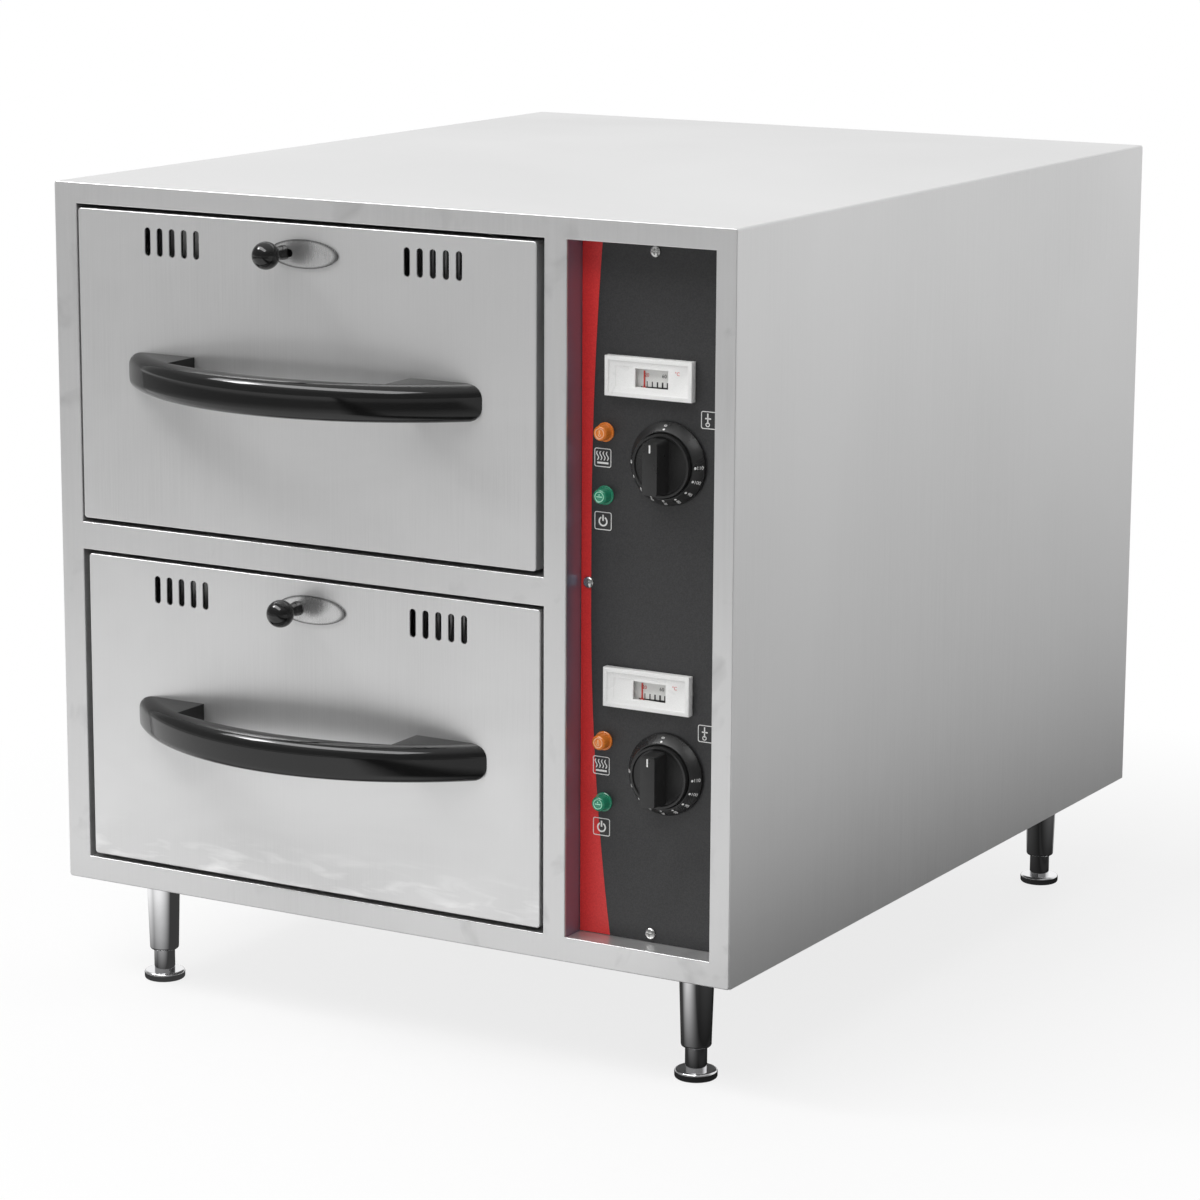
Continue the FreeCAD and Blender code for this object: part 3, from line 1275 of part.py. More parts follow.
def sensing_bulbs():
    """Thermostat bulbs at the back of the cavities, with their capillary tubes."""
    members = []
    for level in LEVELS:
        height = f"({SILL[level]} + bulb_level)"
        wall = "(left_stile + drawer_opening_width)"
        body = new_body("bulb", moved(CORNER, 0, 0, height))
        start = f"({wall} - bulb_length - capillary_bend)"
        pad(body, "YZ_Plane", start, "bulb_length", circle(BULB_Y, 0, "bulb_radius"))
        doc.recompute()
        # From the bulb through the wall, then forward to the thermostat's case and up or down to it.
        path = body.newObject("Sketcher::SketchObject", "Path")
        path.AttachmentSupport = (origin_feature(body, "XY_Plane"), [""])
        path.MapMode = "FlatFace"
        reach = f"({PANEL_BACK} + thermostat_depth + lay)"
        corner_x = f"({KNOB_X} - capillary_bend)"
        corner_y = f"({BULB_Y} - capillary_bend)"
        bulb_end = FreeCAD.Vector(value(start), value(BULB_Y), 0)
        bend_start = FreeCAD.Vector(value(corner_x), value(BULB_Y), 0)
        first = path.addGeometry(Part.LineSegment(bulb_end, bend_start), False)
        centre = FreeCAD.Vector(value(corner_x), value(corner_y), 0)
        ring = Part.Circle(centre, FreeCAD.Vector(0, 0, 1), value("capillary_bend"))
        bend = path.addGeometry(Part.ArcOfCircle(ring, 0, math.pi / 2), False)
        bend_end = FreeCAD.Vector(value(KNOB_X), value(corner_y), 0)
        case_end = FreeCAD.Vector(value(KNOB_X), value(reach), 0)
        last = path.addGeometry(Part.LineSegment(bend_end, case_end), False)
        path.addConstraint(Sketcher.Constraint("Tangent", first, 2, bend, 2))
        path.addConstraint(Sketcher.Constraint("Tangent", bend, 1, last, 1))
        fix_point(path, first, 1, start, BULB_Y)
        path.addConstraint(Sketcher.Constraint("Horizontal", first))
        fix_point(path, last, 2, KNOB_X, reach)
        fix_radius(path, bend, "capillary_bend")
        profile = sketch_on(body, "YZ_Plane", start, [circle(BULB_Y, 0, "capillary_radius")])
        tube = body.newObject("PartDesign::AdditivePipe", "AdditivePipe")
        tube.Profile = profile
        tube.Spine = path
        members.append(body)
    group("sensing_bulbs", members)


# Services, legs and feet


def terminal_block():
    body = new_body(
        "terminal_block",
        moved(CORNER, f"({CONTROL_MIDDLE} - block_length / 2)", "body_depth - block_back", "sheet"),
    )
    pad(body, "XY_Plane", 0, "block_height", rectangle(0, 0, "block_length", "block_width"))
    wells = [
        circle(f"block_length * {number} / 6", f"block_width * {row} / 4", "block_well / 2")
        for number in range(1, 6) for row in (1, 3)
    ]
    cut(body, "XY_Plane", "block_height - block_well", "block_well", *wells)


def cable_gland():
    body = new_body("cable_gland", moved(CORNER, CONTROL_MIDDLE, "body_depth", "gland_level"))
    inside = "(-sheet - gland_nut)"
    turn(
        body, "XY_Plane",
        ("gland_bore", inside), ("gland_radius", inside), ("gland_radius", "-sheet"),
        ("gland_thread", "-sheet"), ("gland_thread", 0),
        ("gland_radius", 0), ("gland_radius", "gland_reach / 2"),
        ("gland_thread", "gland_reach"), ("gland_bore", "gland_reach"),
    )


def legs():
    """Tapered tubes, each with a stud through the base."""
    members = []
    for side, x in LEG_X.items():
        for end, y in LEG_Y.items():
            leg = new_body(f"{end}_{side}_leg_tube", moved(CORNER, x, y, "-leg_height"))
            turn(
                leg, "XZ_Plane",
                ("leg_bore_radius", "leg_end_height"),
                ("leg_bottom_radius - leg_end_round", "leg_end_height"),
                ("leg_bottom_radius", "leg_end_height + leg_end_round", "leg_end_round"),
                ("leg_top_radius", "leg_height"), ("stud_radius", "leg_height"),
                ("stud_radius", "leg_height + stud_length"), (0, "leg_height + stud_length"),
                (0, "leg_height - leg_cap"), ("leg_bore_radius", "leg_height - leg_cap"),
            )
            members.append(leg)
    group("legs", members)


def feet():
    neck = "(leg_bore_radius - foot_clearance)"
    for side, x in LEG_X.items():
        for end, y in LEG_Y.items():
            foot = new_body(f"{end}_{side}_foot", moved(CORNER, x, y, "-leg_height"))
            top = "leg_end_height + foot_thread"
            turn(
                foot, "XZ_Plane",
                (0, 0), ("foot_radius - foot_round", 0), ("foot_radius", "foot_round", "foot_round"),
                ("foot_radius", "foot_height - foot_round"),
                ("foot_radius - foot_round", "foot_height", "foot_round"), (neck, "foot_height"), (neck, top),
                (0, top),
            )


outer_shell()
front_frame()
base_panel()
rear_panel()
rear_panel_screws()
control_bay_partition()
insulation()
panel_sheet_with_holes("control_overlay", "control_recess", "overlay_film")
panel_sheet_with_holes("control_panel", "control_recess + overlay_film", "panel_sheet")
control_panel_screws()
group("thermometer_dials", [thermometer_dial(level) for level in LEVELS])
lamps("heating_lamps", "heat_lamp_rise")
lamps("power_lamps", "-power_lamp_drop")
heater_supports()
sensing_bulbs()
terminal_block()
cable_gland()
legs()
feet()
for storey in LEVELS:
    cavity_liner(storey)
    thermostat(storey)
    thermostat_shaft(storey)
    thermostat_knob(storey)
    thermometer_bezel(storey)
    thermometer_pointer(storey)
    heating_element(storey)
    slides(storey)
    drawer_front(storey)
    front_liner(storey)
    vent_shutter(storey)
    vent_knob(storey)
    vent_plate(storey)
    handle(storey)
    handle_screws(storey)
    drawer_box(storey)
    pan(storey)
doc.recompute()


def check_features():
    """Stops if any feature failed, or if a pocket took nothing away."""
    faults = []
    for item in doc.Objects:
        if "Invalid" in item.State or "Error" in item.State:
            faults.append(f"{item.Label} ({item.Name}) did not compute")
        elif item.TypeId == "PartDesign::Pocket" and not item.BaseFeature.Shape.isNull():
            if item.BaseFeature.Shape.Volume - item.Shape.Volume < 1e-6:
                faults.append(f"{item.Name} of {item.getParentGeoFeatureGroup().Label} cuts nothing")
    if faults:
        raise RuntimeError("; ".join(faults))


def sub_parts():
    """The objects that are pieces of the warming drawer, by name."""
    inside = set()
    for item in doc.Objects:
        if item.TypeId in ("Part::Compound", "Part::Cut"):
            inside.update(member.Name for member in item.OutList)
    kinds = ("PartDesign::Body", "Part::Compound", "Part::Cut")
    return {item.Label: item for item in doc.Objects if item.TypeId in kinds and item.Name not in inside}


check_features()
os.makedirs("parts", exist_ok=True)
for name, item in sorted(sub_parts().items()):
    shape = item.Shape
    if shape.isNull() or not shape.isValid():
        raise RuntimeError(f"{name} has no valid shape")
    shape.exportStep(f"parts/{name}.step")
    box = shape.BoundBox
    print(
        f"{name:28s} solids {len(shape.Solids)}  volume {shape.Volume / 1000:9.2f} cm3  "
        f"x {box.XMin:7.1f} {box.XMax:7.1f}  y {box.YMin:7.1f} {box.YMax:7.1f}  "
        f"z {box.ZMin:7.1f} {box.ZMax:7.1f}"
    )
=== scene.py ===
import math

import bpy
from mathutils import Matrix, Vector


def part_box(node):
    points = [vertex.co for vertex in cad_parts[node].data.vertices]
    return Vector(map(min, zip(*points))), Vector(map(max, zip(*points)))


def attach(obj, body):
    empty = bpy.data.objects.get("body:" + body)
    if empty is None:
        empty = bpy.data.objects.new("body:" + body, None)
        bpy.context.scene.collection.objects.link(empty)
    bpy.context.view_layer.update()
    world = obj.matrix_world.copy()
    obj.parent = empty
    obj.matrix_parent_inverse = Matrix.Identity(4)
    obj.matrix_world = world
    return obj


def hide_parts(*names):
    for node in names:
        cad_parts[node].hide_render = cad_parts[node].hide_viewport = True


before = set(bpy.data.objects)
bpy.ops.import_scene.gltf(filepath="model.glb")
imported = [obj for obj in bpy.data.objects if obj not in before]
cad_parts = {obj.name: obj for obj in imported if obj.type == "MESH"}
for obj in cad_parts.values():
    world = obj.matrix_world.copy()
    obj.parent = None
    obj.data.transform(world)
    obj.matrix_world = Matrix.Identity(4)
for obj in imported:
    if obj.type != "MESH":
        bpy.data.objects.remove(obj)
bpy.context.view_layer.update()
MM = 0.001
LEVELS = ("upper", "lower")
print("nodes in the frame:", len(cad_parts))

# %% [markdown]
# The object is a countertop warming drawer: a steel cabinet on four short legs, two drawers with
# black bow handles, and a narrow control panel. The frame already holds every piece at its true
# size. What it lacks is softness and finish, so the pieces that the hand and the eye meet first
# (handles, knobs, lamps, bezels, screws) are modelled again, and everything gets a real material.
#
# Materials come first. Every finish is made of nodes that read the object's own coordinates, in
# metres, so its grain has a true size. A few small helpers place the nodes that nearly every
# finish needs: they stretch a range of values, calculate, measure a length, split a position and
# make noise.

# %% Helpers for nodes


def stretch_range(tree, value, low, high, to_low=0.0, to_high=1.0):
    """Spread a value from one range to another, clamped."""
    node = tree.nodes.new("ShaderNodeMapRange")
    for socket, number in zip(node.inputs[1:5], (low, high, to_low, to_high)):
        socket.default_value = number
    tree.links.new(value, node.inputs["Value"])
    return node.outputs["Result"]


def math_node(tree, operation, first, second=0):
    """Calculate with two values, each a number or another node's output."""
    node = tree.nodes.new("ShaderNodeMath")
    node.operation = operation
    for socket, value in zip(node.inputs, (first, second)):
        if isinstance(value, (int, float)):
            socket.default_value = value
        else:
            tree.links.new(value, socket)
    return node.outputs[0]


def length_of(tree, vector):
    """How long a vector is."""
    node = tree.nodes.new("ShaderNodeVectorMath")
    node.operation = "LENGTH"
    tree.links.new(vector, node.inputs[0])
    return node.outputs["Value"]


def axes_of(tree, place):
    """A position split into its X, Y and Z."""
    node = tree.nodes.new("ShaderNodeSeparateXYZ")
    tree.links.new(place, node.inputs[0])
    return node.outputs


def noise(tree, vector, detail, roughness=0.5, distortion=0.0):
    """Noise whose scale is already in the vector."""
    node = tree.nodes.new("ShaderNodeTexNoise")
    node.inputs["Scale"].default_value = 1.0
    node.inputs["Detail"].default_value = detail
    node.inputs["Roughness"].default_value = roughness
    node.inputs["Distortion"].default_value = distortion
    tree.links.new(vector, node.inputs["Vector"])
    return node.outputs["Fac"]


print("node helpers: stretch_range, math_node, length_of, axes_of, noise")

# %% [markdown]
# Three effects come back in many finishes, so each is a node group with named sockets: the long
# fine lines that a sanding belt leaves in sheet steel, the soft cloudy patches that handling and
# rolling leave, and the small specks of a moulded or printed surface. Noise can make all three:
# it only has to be drawn out along the grain, kept broad, or made very fine.

# %% Node groups
VECTOR, FLOAT = "NodeSocketVector", "NodeSocketFloat"


def new_group(name, inputs, output):
    """An empty node group. Each input is (name, kind, value), and the output is a number."""
    group = bpy.data.node_groups.new(name, "ShaderNodeTree")
    for label, kind, value in inputs:
        socket = group.interface.new_socket(name=label, in_out="INPUT", socket_type=kind)
        if value is not None:
            socket.default_value = value
    group.interface.new_socket(name=output, in_out="OUTPUT", socket_type=FLOAT)
    return group, group.nodes.new("NodeGroupInput"), group.nodes.new("NodeGroupOutput")


def stretched(group, inside):
    """The group's Vector times its Frequency, on each axis."""
    node = group.nodes.new("ShaderNodeMapping")
    group.links.new(inside.outputs["Vector"], node.inputs["Vector"])
    group.links.new(inside.outputs["Frequency"], node.inputs["Scale"])
    return node.outputs["Vector"]


# Belt lines: noise drawn out along the grain. Frequency is lines per metre on each axis.
belt_lines, inside, result = new_group(
    "belt_lines", [("Vector", VECTOR, None), ("Frequency", VECTOR, (900, 900, 12))], "Lines")
lines = noise(belt_lines, stretched(belt_lines, inside), 4.0, 0.65)
belt_lines.links.new(stretch_range(belt_lines, lines, 0.3, 0.7), result.inputs["Lines"])

# Clouds: broad soft patches. Low and High are the part of the noise that becomes the patch.
clouds, inside, result = new_group(
    "clouds", [("Vector", VECTOR, None), ("Frequency", VECTOR, (5, 5, 5)),
               ("Low", FLOAT, 0.35), ("High", FLOAT, 0.7)], "Patches")
patches = noise(clouds, stretched(clouds, inside), 3.0, 0.5, 0.6)
ranged = clouds.nodes.new("ShaderNodeMapRange")
clouds.links.new(patches, ranged.inputs["Value"])
clouds.links.new(inside.outputs["Low"], ranged.inputs["From Min"])
clouds.links.new(inside.outputs["High"], ranged.inputs["From Max"])
clouds.links.new(ranged.outputs["Result"], result.inputs["Patches"])

# Specks: very fine noise for moulding grain, print and dust.
specks, inside, result = new_group(
    "specks", [("Vector", VECTOR, None), ("Frequency", FLOAT, 2500.0)], "Grain")
fine = noise(specks, inside.outputs["Vector"], 2.0)
specks.links.new(inside.outputs["Frequency"], fine.node.inputs["Scale"])
specks.links.new(stretch_range(specks, fine, 0.35, 0.65), result.inputs["Grain"])
print("node groups:", [group.name for group in bpy.data.node_groups])

# %% [markdown]
# A finish starts as a new material with its shader. The next helpers place a node group in it with
# values of its own, mix two colours, and turn a value into a slight relief.

# %% Helpers for materials
COLOUR_A, COLOUR_B, COLOUR_RESULT = 6, 7, 2  # the colour sockets of a Mix node


def grey(value):
    return (value,) * 3


def new_finish(name):
    """A material with its shader and the object's coordinates."""
    finish = bpy.data.materials.new(name)
    finish.use_nodes = True
    shader = finish.node_tree.nodes["Principled BSDF"]
    place = finish.node_tree.nodes.new("ShaderNodeTexCoord").outputs["Object"]
    return finish, finish.node_tree, shader, place


def use(tree, group, place, **values):
    """Place a node group in a material with its own values, and give back its output."""
    node = tree.nodes.new("ShaderNodeGroup")
    node.node_tree = group
    tree.links.new(place, node.inputs["Vector"])
    for label, value in values.items():
        node.inputs[label].default_value = value
    return node.outputs[0]


def two_colours(tree, mask, first, second):
    """The first colour where the mask is 0, the second where it is 1."""
    node = tree.nodes.new("ShaderNodeMix")
    node.data_type = "RGBA"
    tree.links.new(mask, node.inputs[0])
    for socket, colour in ((node.inputs[COLOUR_A], first), (node.inputs[COLOUR_B], second)):
        if isinstance(colour, tuple):
            socket.default_value = (*colour, 1)
        else:
            tree.links.new(colour, socket)
    return node.outputs[COLOUR_RESULT]


def relief(tree, shader, height, strength, distance):
    """Let a value raise and lower the surface a little."""
    bump = tree.nodes.new("ShaderNodeBump")
    bump.inputs["Strength"].default_value = strength
    bump.inputs["Distance"].default_value = distance
    tree.links.new(height, bump.inputs["Height"])
    tree.links.new(bump.outputs["Normal"], shader.inputs["Normal"])


print("material helpers: grey, new_finish, use, two_colours, relief")

# %% [markdown]
# Sheet steel is most of what one sees. It is a metal with a fairly rough surface, so it shows the
# room as a soft glow. Its colour swings a little along the belt lines and in broad clouds, and its
# roughness swings with them, which is what makes the real sheet look alive. A sheet can also carry
# marks of its own, and these are added by a function that paints over its colour.

# %% Sheet steel


def sheet_steel(name, tone, rough, grain=(900, 900, 14), cloud=0.06, cloud_size=(4, 4, 4),
                marks=None, matt=0.25):
    """Brushed sheet: tone and rough are (lowest, highest), cloud is how much lighter its patches
    are, and matt is the part of its shine that isn't metallic."""
    finish, tree, shader, place = new_finish(name)
    lines = use(tree, belt_lines, place, Frequency=grain)
    patches = use(tree, clouds, place, Frequency=cloud_size)
    colour = two_colours(tree, lines, grey(tone[0]), grey(tone[1]))
    colour = two_colours(tree, patches, colour, grey(tone[1] + cloud))
    if marks:
        colour = marks(tree, place, colour)
    tree.links.new(colour, shader.inputs["Base Color"])
    mixed = math_node(tree, "MULTIPLY", lines, math_node(tree, "SUBTRACT", 1.3, patches))
    tree.links.new(stretch_range(tree, mixed, 0, 1.3, *rough), shader.inputs["Roughness"])
    shader.inputs["Metallic"].default_value = 1 - matt
    relief(tree, shader, lines, 0.10, 0.2 * MM)
    return finish


stainless = sheet_steel("stainless_cabinet", (0.68, 0.73), (0.36, 0.44), cloud=0.02,
                        cloud_size=(2, 2, 2))
# The vent shutters are painted nearly black: painted shade for the dark space behind the vent
# slots, on a part that is stainless steel.
shutter_painted_dark = sheet_steel("shutter_painted_dark", (0.012, 0.02), (0.45, 0.6), cloud=0.006)
liner_steel = sheet_steel("liner_steel", (0.52, 0.62), (0.32, 0.5), (700, 12, 700))
pan_steel = sheet_steel("pan_steel", (0.62, 0.70), (0.24, 0.34), (1200, 1200, 1200), 0.03)
print("plain sheets:", len(bpy.data.materials))

# %% [markdown]
# Three kinds of sheet carry marks of their own, and all but the smudges are painted light. A
# pressed drawer front isn't quite flat, and the wavy light streaks along its foot are a painted
# reflection: lighter colour low on the lower drawer. A welded frame keeps small dull smudges where
# it was polished by hand, and a painted reflection, a bluish tone, on the left wall of its control
# opening. An oval vent plate gets a painted shadow, a dark line round its pressed edge. Each is a
# mask, made from noise or from the place on the piece, that mixes in another tone.

# %% Sheets with marks of their own
# The painted reflection on the lower drawer's foot: how high it reaches, how far it fades, and its
# lighter tone.
WAVES_TOP, WAVES_FADE, WAVE_REFLECTION_TONE = 138 * MM, 30 * MM, 0.9
FRAME_TONE, SMUDGE = (0.64, 0.69), 0.9
# The painted reflection on the control opening's left wall: its place, and the bluish tint that
# stands in for the panel film mirrored in the steel.
OPENING_WALL, WALL_HALF, WALL_FRONT = 147.5 * MM, 0.9 * MM, -309.2 * MM
PAINTED_REFLECTION_TINT = (0.34, 0.35, 0.46)
# The vent plate's painted shadow round its edge: where it starts and ends, and its dark tone.
RIM_FROM, RIM_TO, RIM_SHADOW_TONE = 0.86, 0.97, 0.16  # shares of the way from the middle to the edge


def painted_wave_reflections(tree, place, colour):
    """Painted reflection: wavy light streaks, lighter colour along the foot of the lower drawer
    front.
    """
    lower = stretch_range(tree, axes_of(tree, place)["Z"], WAVES_TOP, WAVES_TOP - WAVES_FADE)
    reflection_waves = use(tree, clouds, place, Frequency=(26, 26, 120), Low=0.50, High=0.74)
    return two_colours(tree, math_node(tree, "MULTIPLY", lower, reflection_waves), colour, grey(WAVE_REFLECTION_TONE))


def smudges_and_painted_reflection(tree, place, colour):
    """Small dull smudges, and a painted reflection: a bluish tone on the left wall of the control
    opening.
    """
    smudges = use(tree, clouds, place, Frequency=(26, 26, 26), Low=0.60, High=0.74)
    colour = two_colours(tree, smudges, colour, grey(FRAME_TONE[0] * SMUDGE))
    axes = axes_of(tree, place)
    beside = math_node(tree, "ABSOLUTE", math_node(tree, "SUBTRACT", axes["X"], OPENING_WALL))
    painted_reflection_mask = math_node(tree, "MULTIPLY", math_node(tree, "LESS_THAN", beside, WALL_HALF),
                     math_node(tree, "GREATER_THAN", axes["Y"], WALL_FRONT))
    return two_colours(tree, painted_reflection_mask, colour, PAINTED_REFLECTION_TINT)


def painted_rim_shadow(node):
    """A painter for a painted shadow: a dark line round the pressed edge of an oval plate."""
    low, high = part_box(node)
    middle, half = (low + high) / 2, (high - low) / 2

    def rim_shadow(tree, place, colour):
        centred = tree.nodes.new("ShaderNodeMapping")
        centred.inputs["Location"].default_value = (-middle.x / half.x, 0, -middle.z / half.z)
        centred.inputs["Scale"].default_value = (1 / half.x, 0, 1 / half.z)
        tree.links.new(place, centred.inputs["Vector"])
        reach = length_of(tree, centred.outputs[0])
        return two_colours(tree, stretch_range(tree, reach, RIM_FROM, RIM_TO), colour,
                           grey(RIM_SHADOW_TONE))

    return rim_shadow


drawer_steel = sheet_steel("stainless_drawer", (0.66, 0.71), (0.30, 0.40), cloud=0.04,
                           cloud_size=(5, 5, 9), marks=painted_wave_reflections)
frame_steel = sheet_steel("stainless_frame", FRAME_TONE, (0.32, 0.42), (500, 500, 14), 0.03,
                          marks=smudges_and_painted_reflection)
upper_plate, lower_plate = (
    sheet_steel(level + "_vent_plate", (0.54, 0.62), (0.22, 0.32), (700, 700, 40), 0.05,
                (60, 60, 60), painted_rim_shadow(level + "_vent_plate"), 0.15) for level in LEVELS)
print("all sheets:", len(bpy.data.materials))

# %% [markdown]
# Plated, turned and drawn metals have no long lines. Chrome is nearly a mirror, zinc is patchy and
# dull, and a heater's sheath is brown from its own heat, so one recipe with different tones,
# roughness and grain covers them all.

# %% Other metals


def plain_metal(name, dark, bright, rough, frequency=60.0, bump=0.05):
    """Metal with a patchy tone: rough is (lowest, highest), frequency is patches per metre."""
    finish, tree, shader, place = new_finish(name)
    patches = use(tree, clouds, place, Frequency=grey(frequency))
    grain = use(tree, specks, place, Frequency=frequency * 40)
    tree.links.new(two_colours(tree, patches, dark, bright), shader.inputs["Base Color"])
    mixed = math_node(tree, "MULTIPLY", patches, grain)
    tree.links.new(stretch_range(tree, mixed, 0, 1, *rough), shader.inputs["Roughness"])
    shader.inputs["Metallic"].default_value = 1.0
    relief(tree, shader, grain, bump, 0.2 * MM)
    return finish


chrome = plain_metal("chrome_plate", (0.80, 0.80, 0.81), (0.86, 0.86, 0.87), (0.03, 0.06), 40,
                     0.004)
zinc = plain_metal("zinc_plate", (0.50, 0.52, 0.55), (0.66, 0.67, 0.68), (0.30, 0.45), 90)
screw_steel = plain_metal("screw_steel", (0.55, 0.55, 0.54), (0.70, 0.70, 0.69), (0.18, 0.3), 200)
heater_metal = plain_metal("heater_sheath", (0.20, 0.17, 0.15), (0.36, 0.33, 0.31), (0.4, 0.6),
                           30)
copper = plain_metal("capillary_copper", (0.66, 0.36, 0.24), (0.80, 0.50, 0.36), (0.2, 0.35), 50)
brass = plain_metal("shaft_brass", (0.68, 0.52, 0.25), (0.80, 0.64, 0.34), (0.2, 0.3), 120)
print("metals:", len(bpy.data.materials))

# %% [markdown]
# Plastics, paint, print and wool. Plastic is not a metal: its colour comes from inside and its
# shine from a thin clear skin, so the roughness stays low and a fine grain in the bump breaks the
# reflection a little.

# %% Plastics and paints


def plastic(name, dark, bright, rough, frequency=300.0, bump=0.03, size=0.1 * MM, coat=0.0):
    """Moulded plastic or paint with fine grain, soft patches and an optional clear coat."""
    finish, tree, shader, place = new_finish(name)
    grain = use(tree, specks, place, Frequency=frequency * 8)
    patches = use(tree, clouds, place, Frequency=grey(frequency / 6))
    tree.links.new(two_colours(tree, grain, dark, bright), shader.inputs["Base Color"])
    tree.links.new(stretch_range(tree, patches, 0, 1, *rough), shader.inputs["Roughness"])
    shader.inputs["Coat Weight"].default_value = coat
    shader.inputs["Coat Roughness"].default_value = 0.05
    relief(tree, shader, grain, bump, size)
    return finish


handle_black = plastic("handle_black", grey(0.005), grey(0.009), (0.03, 0.07))
knob_black = plastic("knob_black", grey(0.012), grey(0.020), (0.26, 0.38))
case_black = plastic("case_black", grey(0.02), grey(0.04), (0.4, 0.6))
gland_black = plastic("gland_nylon", grey(0.015), grey(0.03), (0.35, 0.5))
panel_paint = plastic("panel_paint", grey(0.03), grey(0.05), (0.45, 0.6))
film_black = plastic("film_black", (0.022, 0.022, 0.023), (0.034, 0.034, 0.035), (0.36, 0.46), 160)
film_red = plastic("film_red", (0.62, 0.022, 0.022), (0.72, 0.034, 0.032), (0.36, 0.46), 160)
white_plastic = plastic("bezel_white", (0.80, 0.80, 0.79), (0.86, 0.86, 0.85), (0.25, 0.4))
dial_white = plastic("dial_plate", (0.80, 0.80, 0.78), (0.86, 0.86, 0.84), (0.4, 0.55))
terminal_white = plastic("terminal_nylon", (0.72, 0.70, 0.62), (0.80, 0.78, 0.70), (0.35, 0.5))
label_white = plastic("label_white", (0.74, 0.74, 0.73), (0.82, 0.82, 0.81), (0.4, 0.5))
label_black = plastic("label_black", grey(0.02), grey(0.04), (0.4, 0.5))
label_red = plastic("label_red", (0.55, 0.03, 0.03), (0.66, 0.05, 0.04), (0.4, 0.5))
pointer_red = plastic("pointer_red", (0.60, 0.04, 0.03), (0.70, 0.06, 0.04), (0.3, 0.4))
amber = plastic("amber_lens", (0.72, 0.17, 0.02), (0.82, 0.26, 0.04), (0.08, 0.2), coat=0.5)
amber_light = plastic("amber_mark", (0.85, 0.45, 0.22), (0.92, 0.56, 0.32), (0.15, 0.25))
green = plastic("green_lens", (0.015, 0.20, 0.11), (0.03, 0.30, 0.17), (0.08, 0.2), coat=0.5)
green_light = plastic("green_mark", (0.30, 0.72, 0.52), (0.42, 0.80, 0.62), (0.15, 0.25))
wool = plastic("mineral_wool", (0.55, 0.50, 0.34), (0.80, 0.76, 0.58), (0.85, 0.95), 60, 0.9,
               2 * MM)
print("all finishes:", len(bpy.data.materials))

# %% [markdown]
# Every node of the frame now gets its finish. Most of them come twice, once for each drawer, so
# a short list of what comes in pairs is enough.

# %% Give the CAD nodes their finishes


def both(*nodes):
    """The upper and the lower one of each of these nodes."""
    return [f"{level}_{node}" for node in nodes for level in LEVELS]


FINISHES = (
    (stainless, ["base_panel", "rear_panel", "control_bay_partition", "outer_shell"]),
    (frame_steel, ["front_frame"]),
    (drawer_steel, both("drawer_front")),
    (shutter_painted_dark, both("vent_shutter")),
    (upper_plate, ["upper_vent_plate"]),
    (lower_plate, ["lower_vent_plate"]),
    (liner_steel, both("cavity_liner", "front_liner", "drawer_box")),
    (pan_steel, both("pan")),
    (zinc, both("fixed_rails", "middle_rails", "drawer_rails") + ["heater_supports"]),
    (screw_steel, both("handle_screws") + ["control_panel_screws", "rear_panel_screws"]),
    (chrome, ["legs"] + [f"{end}_{side}_foot" for end in ("front", "rear")
                         for side in ("left", "right")]),
    (heater_metal, both("heating_element")),
    (copper, ["sensing_bulbs"]),
    (brass, both("thermostat_shaft")),
    (wool, ["insulation"]),
    (panel_paint, ["control_panel"]),
    (film_black, ["control_overlay"]),
    (case_black, both("thermostat")),
    (terminal_white, ["terminal_block"]),
    (gland_black, ["cable_gland"]),
    (white_plastic, both("thermometer_bezel")),
    (dial_white, ["thermometer_dials"]),
    (pointer_red, both("thermometer_pointer")),
    (amber, ["heating_lamps"]),
    (green, ["power_lamps"]),
    (knob_black, both("thermostat_knob", "vent_knob")),
    (handle_black, both("handle")),
)
for finish, names in FINISHES:
    for name in names:
        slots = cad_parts[name].data.materials
        slots.clear()
        slots.append(finish)
print("nodes with a finish:", sum(len(names) for _, names in FINISHES))

# %% [markdown]
# Now the shapes. Blender's operators act on whatever is selected, so each helper starts by
# clearing the selection. A finished piece keeps its place in its mesh, and its object stays at the
# origin, as the frame's own nodes do.

# %% Helpers for selecting and placing


def select_only(*pieces):
    """Select these pieces and nothing else. The last one becomes active."""
    bpy.ops.object.select_all(action="DESELECT")
    for piece in pieces:
        piece.select_set(True)
    bpy.context.view_layer.objects.active = pieces[-1]


def named(name):
    """Give the object that was just added its name."""
    piece = bpy.context.object
    piece.name = piece.data.name = name
    return piece


def settle(piece):
    """Move the object's place, turn and scale into its mesh."""
    select_only(piece)
    bpy.ops.object.transform_apply(location=True, rotation=True, scale=True)
    return piece


def copy_to(piece, name, shift):
    """A copy with its own mesh, moved by shift."""
    select_only(piece)
    bpy.ops.object.duplicate()
    twin = named(name)
    bpy.ops.transform.translate(value=shift)
    return settle(twin)


def joined(name, pieces):
    """Several loose pieces made one object."""
    select_only(*pieces)
    bpy.ops.object.join()
    return named(name)


print("placing helpers: select_only, named, settle, copy_to, joined")

# %% [markdown]
# In edit mode the vertices, edges or faces to work on are chosen by their place or by the way they
# look, as the hand would pick them. Each chooser is a small function that says yes or no.

# %% Helpers for edit mode
Y, Z = 1, 2


